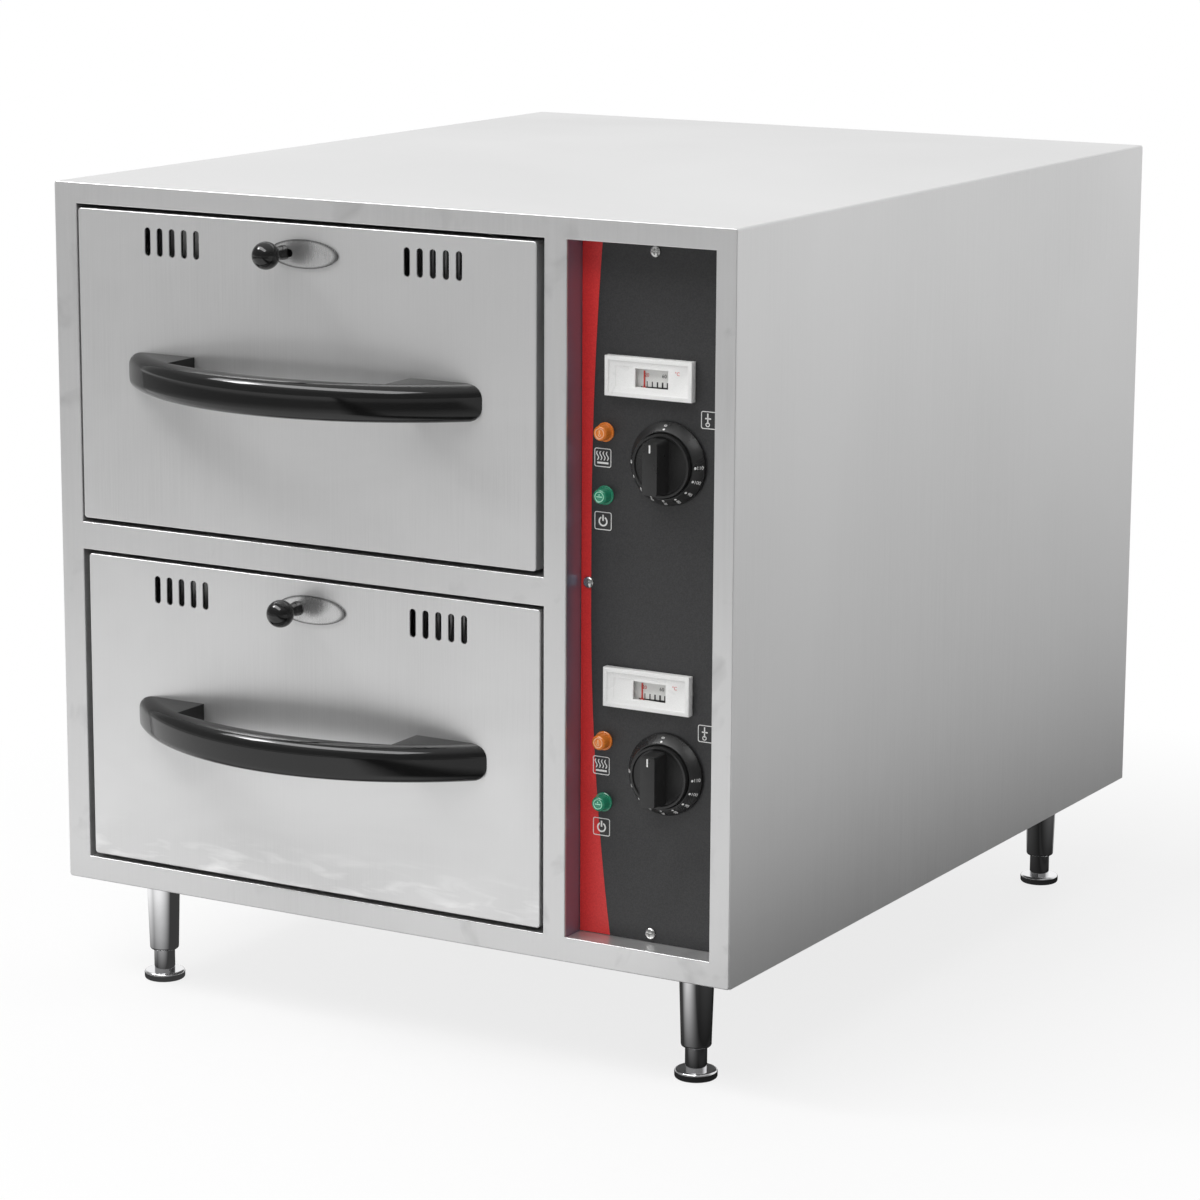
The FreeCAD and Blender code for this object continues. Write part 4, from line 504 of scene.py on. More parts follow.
def edit(piece, kind, chosen):
    """Open edit mode with only the chosen vertices, edges or faces selected."""
    select_only(piece)
    bpy.ops.object.mode_set(mode="EDIT")
    bpy.ops.mesh.select_mode(type=kind)
    bpy.ops.mesh.select_all(action="DESELECT")
    bpy.ops.object.mode_set(mode="OBJECT")
    mesh = piece.data
    for part in {"VERT": mesh.vertices, "EDGE": mesh.edges, "FACE": mesh.polygons}[kind]:
        part.select = bool(chosen(part))
    bpy.ops.object.mode_set(mode="EDIT")


def leave():
    bpy.ops.object.mode_set(mode="OBJECT")


def everything(part):
    return True


def facing_front(face):
    return face.normal.y < -0.9


def ends(piece, edge):
    """The two end points of an edge."""
    return [piece.data.vertices[i].co for i in edge.vertices]


def span(piece, edge, axis):
    """How far an edge reaches along Y or Z."""
    first, second = ends(piece, edge)
    return abs(first[axis] - second[axis])


def sharp(piece, degrees):
    """The edges whose two faces meet at more than this angle."""
    normals = {}
    for face in piece.data.polygons:
        for key in face.edge_keys:
            normals.setdefault(key, []).append(face.normal)
    limit = math.cos(math.radians(degrees))
    return {key for key, pair in normals.items()
            if len(pair) == 2 and pair[0].dot(pair[1]) < limit}


def outward(piece):
    """Merge doubled vertices and turn every face outwards."""
    edit(piece, "FACE", everything)
    bpy.ops.mesh.remove_doubles(threshold=1e-6)
    bpy.ops.mesh.normals_make_consistent(inside=False)
    leave()
    return piece


print("edit mode helpers: edit, leave, everything, facing_front, ends, span, sharp, outward")

# %% [markdown]
# Most pieces start as a block or as a round foot. Blocks are cut with one another, and round
# pieces are raised ring by ring, as on a lathe. The edges are rounded at the end, because a real
# edge is never quite sharp and the line of light along it is what makes a piece look solid.

# %% Helpers for blocks and cutting


def block(name, low, high):
    """A plain block between two corners: the start of a piece, or a cutter."""
    low, high = Vector(low), Vector(high)
    bpy.ops.mesh.primitive_cube_add(size=1, location=(low + high) / 2, scale=high - low)
    return settle(named(name))


def apply(piece, modifier):
    select_only(piece)
    bpy.ops.object.modifier_apply(modifier=modifier.name)
    return piece


def carve(piece, cutter, operation="DIFFERENCE"):
    """Cut one piece with another, and throw the cutter away."""
    cut = piece.modifiers.new("cut", "BOOLEAN")
    cut.object, cut.operation, cut.solver = cutter, operation, "EXACT"
    apply(piece, cut)
    select_only(cutter)
    bpy.ops.object.delete()
    return piece


print("cutting helpers: block, apply, carve")

# %% Helpers for rounding


def round_edges(piece, chosen, width, segments):
    """Round the chosen edges alone."""
    edit(piece, "EDGE", chosen)
    bpy.ops.mesh.bevel(offset=width, segments=segments, affect="EDGES", clamp_overlap=True)
    leave()
    return piece


def smooth(piece, degrees):
    select_only(piece)
    bpy.ops.object.shade_smooth_by_angle(angle=math.radians(degrees))
    return piece


print("rounding helpers: round_edges, smooth")

# %% Helpers for turning


def turned(name, foot, way, profile, sides):
    """A round piece raised ring by ring from its foot, as on a lathe. Each step of the
    profile is (radius, height along way). A last radius of nothing closes the end."""
    foot, way = Vector(foot), Vector(way).normalized()
    radius, height = profile[0]
    turn = way.to_track_quat("Z", "Y").to_euler()
    bpy.ops.mesh.primitive_circle_add(vertices=sides, radius=radius, fill_type="NGON",
                                      location=foot + way * height, rotation=turn)
    piece = settle(named(name))
    edit(piece, "FACE", everything)
    for next_radius, next_height in profile[1:]:
        bpy.ops.mesh.extrude_region_move(
            TRANSFORM_OT_translate={"value": way * (next_height - height)})
        if next_radius == 0:
            bpy.ops.mesh.merge(type="CENTER")
            break
        size = next_radius / radius
        bpy.ops.transform.resize(value=(size, size, size),
                                 center_override=foot + way * next_height)
        radius, height = next_radius, next_height
    leave()
    return outward(piece)


def arc(radius, middle, start, stop, steps):
    """Points (radius, height) of a profile on a circle about middle, from start to stop in
    degrees."""
    across, up = middle
    turns = [math.radians(start + (stop - start) * i / steps) for i in range(steps + 1)]
    return [(across + radius * math.cos(turn), up + radius * math.sin(turn)) for turn in turns]


print("turning helpers: turned, arc")

# %% [markdown]
# A finished piece is handed over: it gets its material and the body that carries it, and the node
# that it replaces is hidden. Many pieces come in pairs, one for each drawer, so the upper one is
# made and copied to the lower one's place.

# %% Helpers for handing a piece over


def hand_over(piece, body, slot, finish, *nodes):
    """Give a finished piece its material and say which body carries it and what it replaces."""
    piece.data.materials.clear()
    piece.data.materials.append(finish)
    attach(piece, body)
    if nodes:
        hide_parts(*nodes)
    return piece


def make_pair(make, name, node, body, slot, finish, replaces=True):
    """Make a piece for the upper drawer's node, copy it to the lower one's, hand both over."""
    upper = make("upper_" + name, "upper_" + node)
    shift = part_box("lower_" + node)[0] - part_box("upper_" + node)[0]
    lower = copy_to(upper, "lower_" + name, shift)
    for level, piece in zip(LEVELS, (upper, lower)):
        nodes = [f"{level}_{node}"] if replaces else []
        hand_over(piece, f"{level}_{body}", slot, finish, *nodes)
    print("a pair of", name, "with faces:", len(upper.data.polygons))


print("handing over: hand_over, make_pair")

# %% [markdown]
# The bow handle is one moulding: a shallow arch whose ends broaden into feet. Sweeping a section
# along a curve would make the feet awkward. The outer face is part of a large circle, so it is
# easier to turn a thick disc that already has its rounded rims, cut it off at the drawer's face,
# give the ends their rounded outline by keeping only what lies inside a block with rounded
# corners, and then cut the finger gap out and round its rims.

# %% Bow handles
FOOT_LENGTH, FOOT_REACH, BOW_THICKNESS, GAP_CORNER = 57 * MM, 32 * MM, 14 * MM, 14 * MM
TOP_RIM, LOW_RIM, INNER_RIM = 9 * MM, 6 * MM, 3.4 * MM
END_ROUND, BOW_SIDES = 0.42, 288  # the ends' corner radius as a share of the handle's height
PAST, SPARE = 10 * MM, 0.05 * MM  # how far a cutter goes past the faces it cuts, or keeps clear
FLAT = 0.01 * MM  # two heights closer than this are the same


def finger_gap(low, high):
    """The cutter for the gap behind the bow: a large round cut off at the feet."""
    middle, reach, height = (low + high) / 2, high.y - low.y, high.z - low.z
    half = (high.x - low.x) / 2 - FOOT_LENGTH
    rise = reach - BOW_THICKNESS - FOOT_REACH
    inner = (half**2 + rise**2) / (2 * rise)
    crown = high.y - reach + BOW_THICKNESS
    bpy.ops.mesh.primitive_cylinder_add(vertices=BOW_SIDES, radius=inner, depth=2 * height,
                                        location=(middle.x, crown + inner, middle.z))
    gap = settle(named("finger_gap"))
    carve(gap, block("gap_walls", (middle.x - half, low.y, middle.z - 2 * height),
                     (middle.x + half, high.y + PAST, middle.z + 2 * height)), "INTERSECT")

    def at_corner(edge):
        first, _ = ends(gap, edge)
        return (span(gap, edge, Z) > height and abs(first.y - (high.y - FOOT_REACH)) < MM
                and abs(abs(first.x - middle.x) - half) < MM)

    return round_edges(gap, at_corner, GAP_CORNER, 10), half


def bow_handle(name, node):
    low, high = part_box(node)
    middle = (low + high) / 2
    half, reach, height = (high.x - low.x) / 2, high.y - low.y, high.z - low.z
    radius = (half**2 + reach**2) / (2 * reach)
    rims = (arc(LOW_RIM, (radius - LOW_RIM, LOW_RIM), -90, 0, 6)
            + arc(TOP_RIM, (radius - TOP_RIM, height - TOP_RIM), 0, 90, 8))
    piece = turned(name, (middle.x, low.y + radius, low.z), (0, 0, 1), rims, BOW_SIDES)
    edit(piece, "FACE", everything)
    bpy.ops.mesh.bisect(plane_co=(0, high.y, 0), plane_no=(0, 1, 0), use_fill=True,
                        clear_outer=True)
    leave()
    prism = block("end_shape", (low.x + SPARE, low.y - PAST, low.z - SPARE),
                  (high.x - SPARE, high.y + PAST, high.z + SPARE))
    round_edges(prism, lambda edge: span(prism, edge, Y) > reach, END_ROUND * height, 12)
    carve(piece, prism, "INTERSECT")
    gap, gap_half = finger_gap(low, high)
    carve(piece, gap)

    def on_gap(edge):
        first, second = ends(piece, edge)
        return (edge.key in keys and span(piece, edge, Z) < FLAT
                and abs(abs(first.z - middle.z) - height / 2) < FLAT
                and max(abs(first.x - middle.x), abs(second.x - middle.x)) < gap_half + MM
                and min(first.y, second.y) < high.y - FLAT)

    keys = sharp(piece, 50)
    round_edges(piece, on_gap, INNER_RIM, 4)
    return smooth(outward(piece), 40)


make_pair(bow_handle, "bow_handle", "handle", "drawer", "handle_black", handle_black)

# %% [markdown]
# The vent knob is a black ball on a short waisted neck. A ball alone would look stuck on, so stem,
# neck and ball are one profile turned round the knob's axis.

# %% Vent knobs
BALL_RADIUS, NECK_FOOT, NECK_TOP, STEM = 9.75 * MM, 5.2 * MM, 3.6 * MM, 2.5 * MM
STEM_LENGTH, NECK_LENGTH = 3.2 * MM, 6 * MM


def axis_of(node):
    """The middle of a node's rearmost face, where a round piece stands."""
    low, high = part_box(node)
    return Vector(((low.x + high.x) / 2, high.y, (low.z + high.z) / 2))


def vent_knob(name, node):
    low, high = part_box(node)
    centre = high.y - low.y - BALL_RADIUS
    start = -math.degrees(math.acos(NECK_TOP / BALL_RADIUS))
    profile = [(STEM, 0), (STEM, STEM_LENGTH), (NECK_FOOT - 0.4 * MM, STEM_LENGTH),
               (NECK_FOOT, STEM_LENGTH + 0.5 * MM), (NECK_FOOT - 0.3 * MM, NECK_LENGTH)]
    profile += arc(BALL_RADIUS, (0, centre), start, 86, 14) + [(0, centre + BALL_RADIUS)]
    return smooth(turned(name, axis_of(node), (0, -1, 0), profile, 40), 40)


make_pair(vent_knob, "ball_knob", "vent_knob", "vent", "handle_black", handle_black)

# %% [markdown]
# The thermostat knob has three parts in one moulding: a low cone that carries the numbers, a
# shallow disc inside it, set off by a narrow groove, and a straight grip that stands across the
# disc. Cone, groove and disc are one turned profile. The grip is a block whose front is drawn in
# a little, as a moulding needs to leave its mould, and it is then welded on.

# %% Thermostat knobs
SKIRT, SKIRT_EDGE, CONE_TOP, CONE_RISE = 28.2 * MM, 1.6 * MM, 23 * MM, 8.2 * MM
DISC, DISC_RISE, DISC_RIM, DISH, GRIP = 21.3 * MM, 11.7 * MM, 1.6 * MM, 1.2 * MM, 12 * MM
GROOVE, GRIP_DRAFT, GRIP_ROUND, KNOB_SOFT = 1.5 * MM, (0.93, 1, 0.95), 2 * MM, 0.7 * MM


def soften(piece, width, segments, degrees):
    """Round every edge that is sharper than this angle."""
    bevel = piece.modifiers.new("soften", "BEVEL")
    bevel.width, bevel.segments = width, segments
    bevel.limit_method, bevel.angle_limit = "ANGLE", math.radians(degrees)
    return apply(piece, bevel)


def thermostat_knob(name, node):
    axis, length = axis_of(node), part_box(node)[1].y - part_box(node)[0].y
    knob = turned(name, axis, (0, -1, 0), [
        (SKIRT, 0), (SKIRT, SKIRT_EDGE), (CONE_TOP, CONE_RISE), (CONE_TOP - 0.8 * MM, CONE_RISE),
        (DISC + 0.2 * MM, CONE_RISE - GROOVE), (DISC, CONE_RISE - GROOVE), (DISC, DISC_RISE),
        (DISC - DISC_RIM, DISC_RISE), (DISC - DISC_RIM - 0.6 * MM, DISC_RISE - DISH),
        (0, DISC_RISE - DISH)], 96)
    half = DISC - DISC_RIM - 1.2 * MM
    grip = block("grip", axis + Vector((-GRIP / 2, -length, -half)),
                 axis + Vector((GRIP / 2, -DISC_RISE + 2 * DISH, half)))
    edit(grip, "FACE", facing_front)
    bpy.ops.transform.resize(value=GRIP_DRAFT, center_override=axis + Vector((0, -length, 0)))
    leave()
    round_edges(grip, lambda edge: span(grip, edge, Y) > 5 * MM, GRIP_ROUND, 4)
    carve(knob, grip, "UNION")
    soften(knob, KNOB_SOFT, 3, 35)
    return smooth(outward(knob), 35)


make_pair(thermostat_knob, "grip_knob", "thermostat_knob", "thermostat_dial", "knob_black",
          knob_black)

# %% [markdown]
# Print is thin but real: each mark is a flat shape with a film's thickness, so it catches the
# light as ink does. A box is a flat face with rounded corners, which is inset and hollowed where
# only its outline is wanted, and a number is text turned into a mesh.

# %% Helpers for printed boxes
INK = 0.1 * MM


def thicken(piece, ink):
    """Give a flat shape that looks towards -Y this thickness, towards -Y."""
    edit(piece, "FACE", everything)
    bpy.ops.mesh.extrude_region_move(TRANSFORM_OT_translate={"value": (0, -ink, 0)})
    leave()
    return outward(piece)


def outline_only(piece, line):
    """Leave only a line of this width along the outline of a flat face."""
    edit(piece, "FACE", everything)
    bpy.ops.mesh.inset(thickness=line)
    bpy.ops.mesh.delete(type="FACE")
    leave()


def flat_plate(name, at, width, height):
    """A flat face that looks towards -Y, about this place."""
    bpy.ops.mesh.primitive_plane_add(size=1, location=at, rotation=(math.pi / 2, 0, 0))
    piece = named(name)
    piece.scale = (width, height, 1)
    return settle(piece)


def printed_box(name, at, width, height, line=0, corner=0.12, ink=INK):
    """A printed rectangle, filled or only its outline. Corner is a share of its shorter side."""
    piece = flat_plate(name, at, width, height)
    edit(piece, "VERT", everything)
    bpy.ops.mesh.bevel(offset=corner * min(width, height), segments=4, affect="VERTICES")
    leave()
    if line:
        outline_only(piece, line)
    return thicken(piece, ink)


print("ink thickness, mm:", INK / MM)

# %% Helper for letters


def lettering(name, words, size, at, across=(1, 0, 0), facing=(0, -1, 0)):
    """Flat letters: across is the way they are read, facing the way they look."""
    across, facing = Vector(across).normalized(), Vector(facing).normalized()
    bpy.ops.object.text_add()
    text = bpy.context.object
    text.data.body, text.data.size = words, size
    text.data.align_x, text.data.align_y = "CENTER", "CENTER"
    text.data.extrude, text.data.resolution_u = INK / 2, 3
    bpy.ops.object.convert(target="MESH")
    piece = named(name)
    turn = Matrix((across, facing.cross(across), facing)).transposed()
    piece.matrix_world = Matrix.Translation(Vector(at) + facing * INK / 2) @ turn.to_4x4()
    return settle(piece)


print("letters are raised by", INK / MM, "mm")

# %% [markdown]
# The cone is printed with an off mark at the top and nine temperatures from three o'clock round
# the bottom to nine o'clock. Each has a dot next to the disc and its number beyond it, read
# outwards down the slope, so the letters have to lie on the cone: across is straight down the
# slope, and facing is the slope's own normal. A short line on the grip points at them.

# %% Marks on the thermostat knobs
DOT, DOT_DOWN, NUMBER_SIZE, NUMBER_DOWN = 0.85 * MM, 1.5 * MM, 3.4 * MM, 5.0 * MM
HOTTEST, HEAT_STEP, TURN_STEP, HEAT_MARKS = 110, 10, 22.5, 9
GRIP_LINE, GRIP_LINE_UP = (1.1 * MM, 5.4 * MM), 13.4 * MM
fall = Vector((SKIRT - CONE_TOP, CONE_RISE - SKIRT_EDGE))
slope_length = fall.length


def on_cone(axis, out, down):
    """A point on the cone, this far down from its top, in the direction out."""
    reach, drop = fall * down / slope_length
    return axis + out * (CONE_TOP + reach) + Vector((0, -(CONE_RISE - drop), 0))


def knob_marks(name, node):
    axis, marks = axis_of(node), []
    turns = {"0": 90} | {str(HOTTEST - HEAT_STEP * step): -TURN_STEP * step
                         for step in range(HEAT_MARKS)}
    for number, degrees in turns.items():
        out = Vector((math.cos(math.radians(degrees)), 0, math.sin(math.radians(degrees))))
        across = out * fall.x + Vector((0, fall.y, 0))
        facing = out * fall.y + Vector((0, -fall.x, 0))
        marks.append(turned("dot", on_cone(axis, out, DOT_DOWN), facing, [
            (DOT, -INK), (DOT, INK), (0, INK)], 14))
        marks.append(lettering("number", number, NUMBER_SIZE, on_cone(axis, out, NUMBER_DOWN),
                               across, facing))
    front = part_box(node)[0].y
    marks.append(printed_box("line", (axis.x, front + INK / 2, axis.z + GRIP_LINE_UP),
                             *GRIP_LINE))
    return joined(name, marks)


make_pair(knob_marks, "knob_marks", "thermostat_knob", "thermostat_dial", "knob_black",
          label_white, replaces=False)

# %% [markdown]
# Lamps: a flanged lens of coloured plastic. The lens is domed, and its rim stands a little
# forward, so it is turned as one profile. A small sign is raised in the middle of the lens, and
# for it a ring is needed: a flat disc that is inset and hollowed, as the boxes are.

# %% Helper for printed rings


def printed_ring(name, at, radius, line, ink=INK, gap=0):
    """A circle line on a face that looks towards -Y, open at the top by twice the gap's angle."""
    bpy.ops.mesh.primitive_circle_add(vertices=40, radius=radius, fill_type="NGON",
                                      location=at, rotation=(math.pi / 2, 0, 0))
    piece = settle(named(name))
    outline_only(piece, line)
    if gap:
        reach = radius * math.cos(math.radians(gap))
        edit(piece, "FACE", lambda face: face.center.z - at[2] > reach)
        bpy.ops.mesh.delete(type="FACE")
        leave()
    return thicken(piece, ink)


print("ring helper: printed_ring")

# %% Indicator lamps
LAMP_FLANGE, LAMP_FLANGE_DEEP, LENS, LENS_REACH = 6.6 * MM, 1.3 * MM, 5.3 * MM, 8.5 * MM
LAMP_TAIL, SIGN_DEEP = 20 * MM, 0.5 * MM
PANEL_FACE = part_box("control_overlay")[0].y


def lamp(name, foot):
    profile = [(LENS - MM, -LAMP_TAIL), (LENS - MM, 0), (LAMP_FLANGE, 0),
               (LAMP_FLANGE, LAMP_FLANGE_DEEP - 0.4 * MM),
               (LAMP_FLANGE - 0.4 * MM, LAMP_FLANGE_DEEP), (LENS + 0.2 * MM, LAMP_FLANGE_DEEP),
               (LENS, LAMP_FLANGE_DEEP + 0.3 * MM), (LENS - 0.1 * MM, LENS_REACH - 1.4 * MM),
               (LENS - 0.5 * MM, LENS_REACH - 0.5 * MM), (LENS - 1.2 * MM, LENS_REACH),
               (LENS - 1.9 * MM, LENS_REACH - 0.5 * MM), (LENS - 3 * MM, LENS_REACH - 0.3 * MM),
               (0, LENS_REACH - 0.15 * MM)]
    return smooth(turned(name, foot, (0, -1, 0), profile, 40), 35)


def lamp_sign(name, foot, hot):
    """A ring with a thermometer in it for heat, or with a level line in it for power."""
    face = Vector((foot.x, foot.y - LENS_REACH + SIGN_DEEP, foot.z))
    up = Vector((0, 0, MM))
    signs = [printed_ring("ring", face, 3.5 * MM, 0.5 * MM, SIGN_DEEP)]
    if hot:
        signs += [printed_ring("bulb", face - up * 1.1, 0.95 * MM, 0.4 * MM, SIGN_DEEP),
                  printed_box("stem", face + up * 0.9, 0.8 * MM, 2.6 * MM, 0, 0.3, SIGN_DEEP)]
    else:
        signs += [printed_box("level", face, 4.6 * MM, 0.7 * MM, 0, 0.3, SIGN_DEEP),
                  printed_box("mark", face + up * 1.3, 0.6 * MM, 1.2 * MM, 0, 0.3, SIGN_DEEP)]
    return joined(name, signs)


for kind, slot, finish, light in (("heating", "amber_lens", amber, amber_light),
                                  ("power", "green_lens", green, green_light)):
    low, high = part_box(kind + "_lamps")
    for level, height in (("lower", low.z + LAMP_FLANGE), ("upper", high.z - LAMP_FLANGE)):
        foot = Vector(((low.x + high.x) / 2, PANEL_FACE, height))
        hand_over(lamp(f"{level}_{kind}_lens", foot), "cabinet", slot, finish, kind + "_lamps")
        hand_over(lamp_sign(f"{level}_{kind}_sign", foot, kind == "heating"), "cabinet", slot,
                  light)
    print(kind, "lamps at x", round((low.x + high.x) / 2, 4))

# %% [markdown]
# The thermometer is a white plastic frame with a raised border and a small window, standing in
# front of a white scale. The frame is a block: its front is inset and pushed back for the border,
# its back gets the narrower case, and the hollow and the window are cut out. Behind the window lie
# a scale of black strokes that grow to the right, two numbers and a red needle.

# %% Thermometer frames
REACH, BORDER, STEP, WALL, CASE_INSET = 5.5 * MM, 3 * MM, 0.5 * MM, 1.4 * MM, 3 * MM
WINDOW_LEFT, WINDOW_WIDE, WINDOW_HIGH = 23 * MM, 25 * MM, 12.5 * MM
LABEL_LEFT, LABEL_GAP, LABEL_HALF, LABEL_DEEP = 8 * MM, 1.2 * MM, 7 * MM, 0.3 * MM


def thermometer_frame(name, node):
    low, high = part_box(node)
    middle = (low.z + high.z) / 2
    piece = block(name, low, (high.x, low.y + REACH, high.z))
    edit(piece, "FACE", facing_front)
    bpy.ops.mesh.inset(thickness=BORDER)
    bpy.ops.mesh.extrude_region_move(TRANSFORM_OT_translate={"value": (0, STEP, 0)})
    leave()
    inset = Vector((CASE_INSET, 0, CASE_INSET))
    carve(piece, block("case", low + inset + Vector((0, REACH - MM, 0)), high - inset), "UNION")
    deep = Vector((CASE_INSET + WALL, 0, CASE_INSET + WALL))
    carve(piece, block("hollow", low + deep + Vector((0, STEP + WALL, 0)),
                       high - deep - Vector((0, WALL, 0))))
    left = low.x + WINDOW_LEFT
    carve(piece, block("window", (left, low.y - MM, middle - WINDOW_HIGH / 2),
                       (left + WINDOW_WIDE, low.y + 4 * MM, middle + WINDOW_HIGH / 2)))
    carve(piece, block("label_place", (low.x + LABEL_LEFT, low.y - MM, middle - LABEL_HALF),
                       (left - LABEL_GAP, low.y + STEP + LABEL_DEEP, middle + LABEL_HALF)))
    soften(piece, 0.4 * MM, 2, 50)
    return smooth(outward(piece), 35)


def scale_strokes(name, node):
    """The black strokes of the scale and the number at its hot end."""
    low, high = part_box(node)
    middle, start, plate = (low.z + high.z) / 2, low.x + WINDOW_LEFT, low.y + REACH
    marks = [lettering("number", "60", 3.6 * MM, (start + 19.5 * MM, plate, middle + 1.6 * MM))]
    for step in range(5):
        wide = (0.6 + 0.22 * step) * MM
        marks.append(printed_box("stroke", (start + (6.5 + 3.9 * step) * MM, plate,
                                            middle - 4.4 * MM), wide, 3.8 * MM, 0, 0.1))
        marks.append(printed_box("base", (start + (4 + 4 * step) * MM, plate, middle - 6.5 * MM),
                                 4.4 * MM, wide, 0, 0.05))
    return joined(name, marks)


def scale_red(name, node):
    """The red number at the scale's cool end, and the unit on the frame."""
    low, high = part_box(node)
    middle, start, plate = (low.z + high.z) / 2, low.x + WINDOW_LEFT, low.y + REACH
    return joined(name, [
        lettering("number", "20", 3.6 * MM, (start + 6.2 * MM, plate, middle + 1.6 * MM)),
        lettering("unit", "°C", 3.4 * MM,
                  (high.x - 11 * MM, low.y + STEP, middle + 4.8 * MM))])


for level in LEVELS:
    node = level + "_thermometer_bezel"
    hand_over(thermometer_frame(level + "_thermometer_frame", node), "cabinet", "bezel_white",
              white_plastic, node)
    hand_over(scale_strokes(level + "_scale_strokes", node), "cabinet", "dial_white", label_black)
    hand_over(scale_red(level + "_scale_red", node), "cabinet", "pointer_red", label_red)

# %% [markdown]
# Three plain signs are printed on the panel film by each knob: rising heat under the amber lamp,
# the power sign under the green one, and a warming sign beside the knob. They are thin white
# lines, so each is an outline, a filled box or a wave with a film's thickness. A wave is one short
# edge that is extruded upwards again and again, a little to the left or right each time.

# %% Helper for printed waves


def printed_wave(name, foot, height, swing, line, steps=16):
    """An upright wavy line, drawn upwards from its foot by extruding one short edge."""
    rise = height / steps
    piece = flat_plate(name, foot, line, rise)
    edit(piece, "EDGE", lambda edge: min(p.z for p in ends(piece, edge)) > foot[2] + rise / 4)
    for step in range(1, steps):
        sideways = swing * math.cos(2 * math.pi * step / steps)
        bpy.ops.mesh.extrude_region_move(TRANSFORM_OT_translate={"value": (sideways, 0, rise)})
    leave()
    return thicken(piece, INK)


print("wave helper: printed_wave")

# %% Signs on the panel
LINE = 0.55 * MM


def sideways_up(x, z):
    """A step along the panel, in millimetres."""
    return Vector((x * MM, 0, z * MM))


def heat_sign(at):
    signs = [printed_box("frame", at, 13 * MM, 12.8 * MM, LINE),
             printed_box("tray", at + sideways_up(0, -3.6), 8.6 * MM, 1.3 * MM)]
    for step in range(4):
        signs.append(printed_wave("wave", at + sideways_up(2.5 * step - 3.9, -1.6), 6 * MM,
                                  0.3 * MM, 0.8 * MM))
    return signs


def power_sign(at):
    return [printed_box("frame", at, 13.2 * MM, 12.4 * MM, LINE),
            printed_ring("ring", at + sideways_up(0, -0.3), 3.5 * MM, 1.1 * MM, INK, 42),
            printed_box("stroke", at + sideways_up(0, 2.1), 1.2 * MM, 4.2 * MM)]


def warm_sign(at):
    return [printed_box("frame", at, 13 * MM, 11.8 * MM, LINE),
            printed_box("stem", at + sideways_up(-1.5, 1), 0.9 * MM, 7 * MM),
            printed_box("bar", at + sideways_up(-1.3, 1), 4.4 * MM, 0.9 * MM),
            printed_ring("foot", at + sideways_up(-1.5, -3), 1.6 * MM, 0.6 * MM)]


for level in LEVELS:
    axis, left = axis_of(level + "_thermostat_knob"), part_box("heating_lamps")[0].x + LAMP_FLANGE
    signs = (heat_sign(Vector((left - 2.1 * MM, PANEL_FACE, axis.z - 0.6 * MM)))
             + power_sign(Vector((left - 1.7 * MM, PANEL_FACE, axis.z - 43.6 * MM)))
             + warm_sign(Vector((axis.x + 30.2 * MM, PANEL_FACE, axis.z + 31.5 * MM))))
    signs = joined(level + "_panel_signs", signs)
    hand_over(signs, "cabinet", "panel_film", label_white)
    print("faces in the", level, "signs:", len(signs.data.polygons))

# %% [markdown]
# Pan-head screws with a cross recess hold the control panel and the back. One is turned and its
# cross is cut with two thin blocks, and the rest are copies.

# %% Panel screws
HEAD, HEAD_RISE, SIDE_SCREW_HEIGHT = 4 * MM, 2.2 * MM, 344.8 * MM
SHANK, HEAD_RIM = 0.48 * HEAD, 0.35  # the rim's height as a share of the head's
CROSS_WIDE, CROSS_LONG, CROSS_DEEP = 0.42 * MM, 2.1 * MM, 1.2 * MM  # from the cross's middle


def pan_head_screw(foot, way, shaft):
    """A screw whose head stands on foot and looks along way, which is (0, -1, 0) or (0, 1, 0)."""
    dome = [(HEAD * math.cos(math.radians(turn)),
             HEAD_RISE * (HEAD_RIM + (1 - HEAD_RIM) * math.sin(math.radians(turn))))
            for turn in (0, 25, 50, 72)]
    screw = turned("screw", foot, way, [(SHANK, -shaft), (SHANK, 0), (HEAD, 0)]
                   + dome + [(0, HEAD_RISE)], 32)
    top = Vector(foot) + Vector(way) * HEAD_RISE
    for wide, tall in ((CROSS_WIDE, CROSS_LONG), (CROSS_LONG, CROSS_WIDE)):
        reach = Vector((wide, CROSS_DEEP, tall))
        carve(screw, block("slot", top - reach, top + reach))
    return screw


def screw_set(name, node, front, places):
    """A screw at each (x, z) of places: the first is made, the others are its copies."""
    low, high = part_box(node)
    foot, way = (low.y + HEAD_RISE, (0, -1, 0)) if front else (high.y - HEAD_RISE, (0, 1, 0))
    (first_x, first_z), shaft = places[0], (high.y - low.y) - HEAD_RISE
    first = pan_head_screw((first_x, foot, first_z), way, shaft)
    others = [copy_to(first, "screw", (x - first_x, 0, z - first_z)) for x, z in places[1:]]
    screws = smooth(joined(name, [first] + others), 35)
    hand_over(screws, "cabinet", "screw_steel", screw_steel, node)
    print(name, "has screws:", len(places))


low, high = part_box("control_panel_screws")
centre = (low.x + high.x) / 2
screw_set("control_panel_screw_set", "control_panel_screws", True, [
    (centre, low.z + HEAD), (centre, high.z - HEAD),
    (low.x + HEAD, SIDE_SCREW_HEIGHT), (high.x - HEAD, SIDE_SCREW_HEIGHT)])
low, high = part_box("rear_panel_screws")
rows, columns = ((low.z + HEAD, (low.z + high.z) / 2, high.z - HEAD),
                 (low.x + HEAD, (low.x + high.x) / 2, high.x - HEAD))
screw_set("rear_panel_screw_set", "rear_panel_screws", False,
          [(x, z) for x in columns for z in rows if (x, z) != (columns[1], rows[1])])

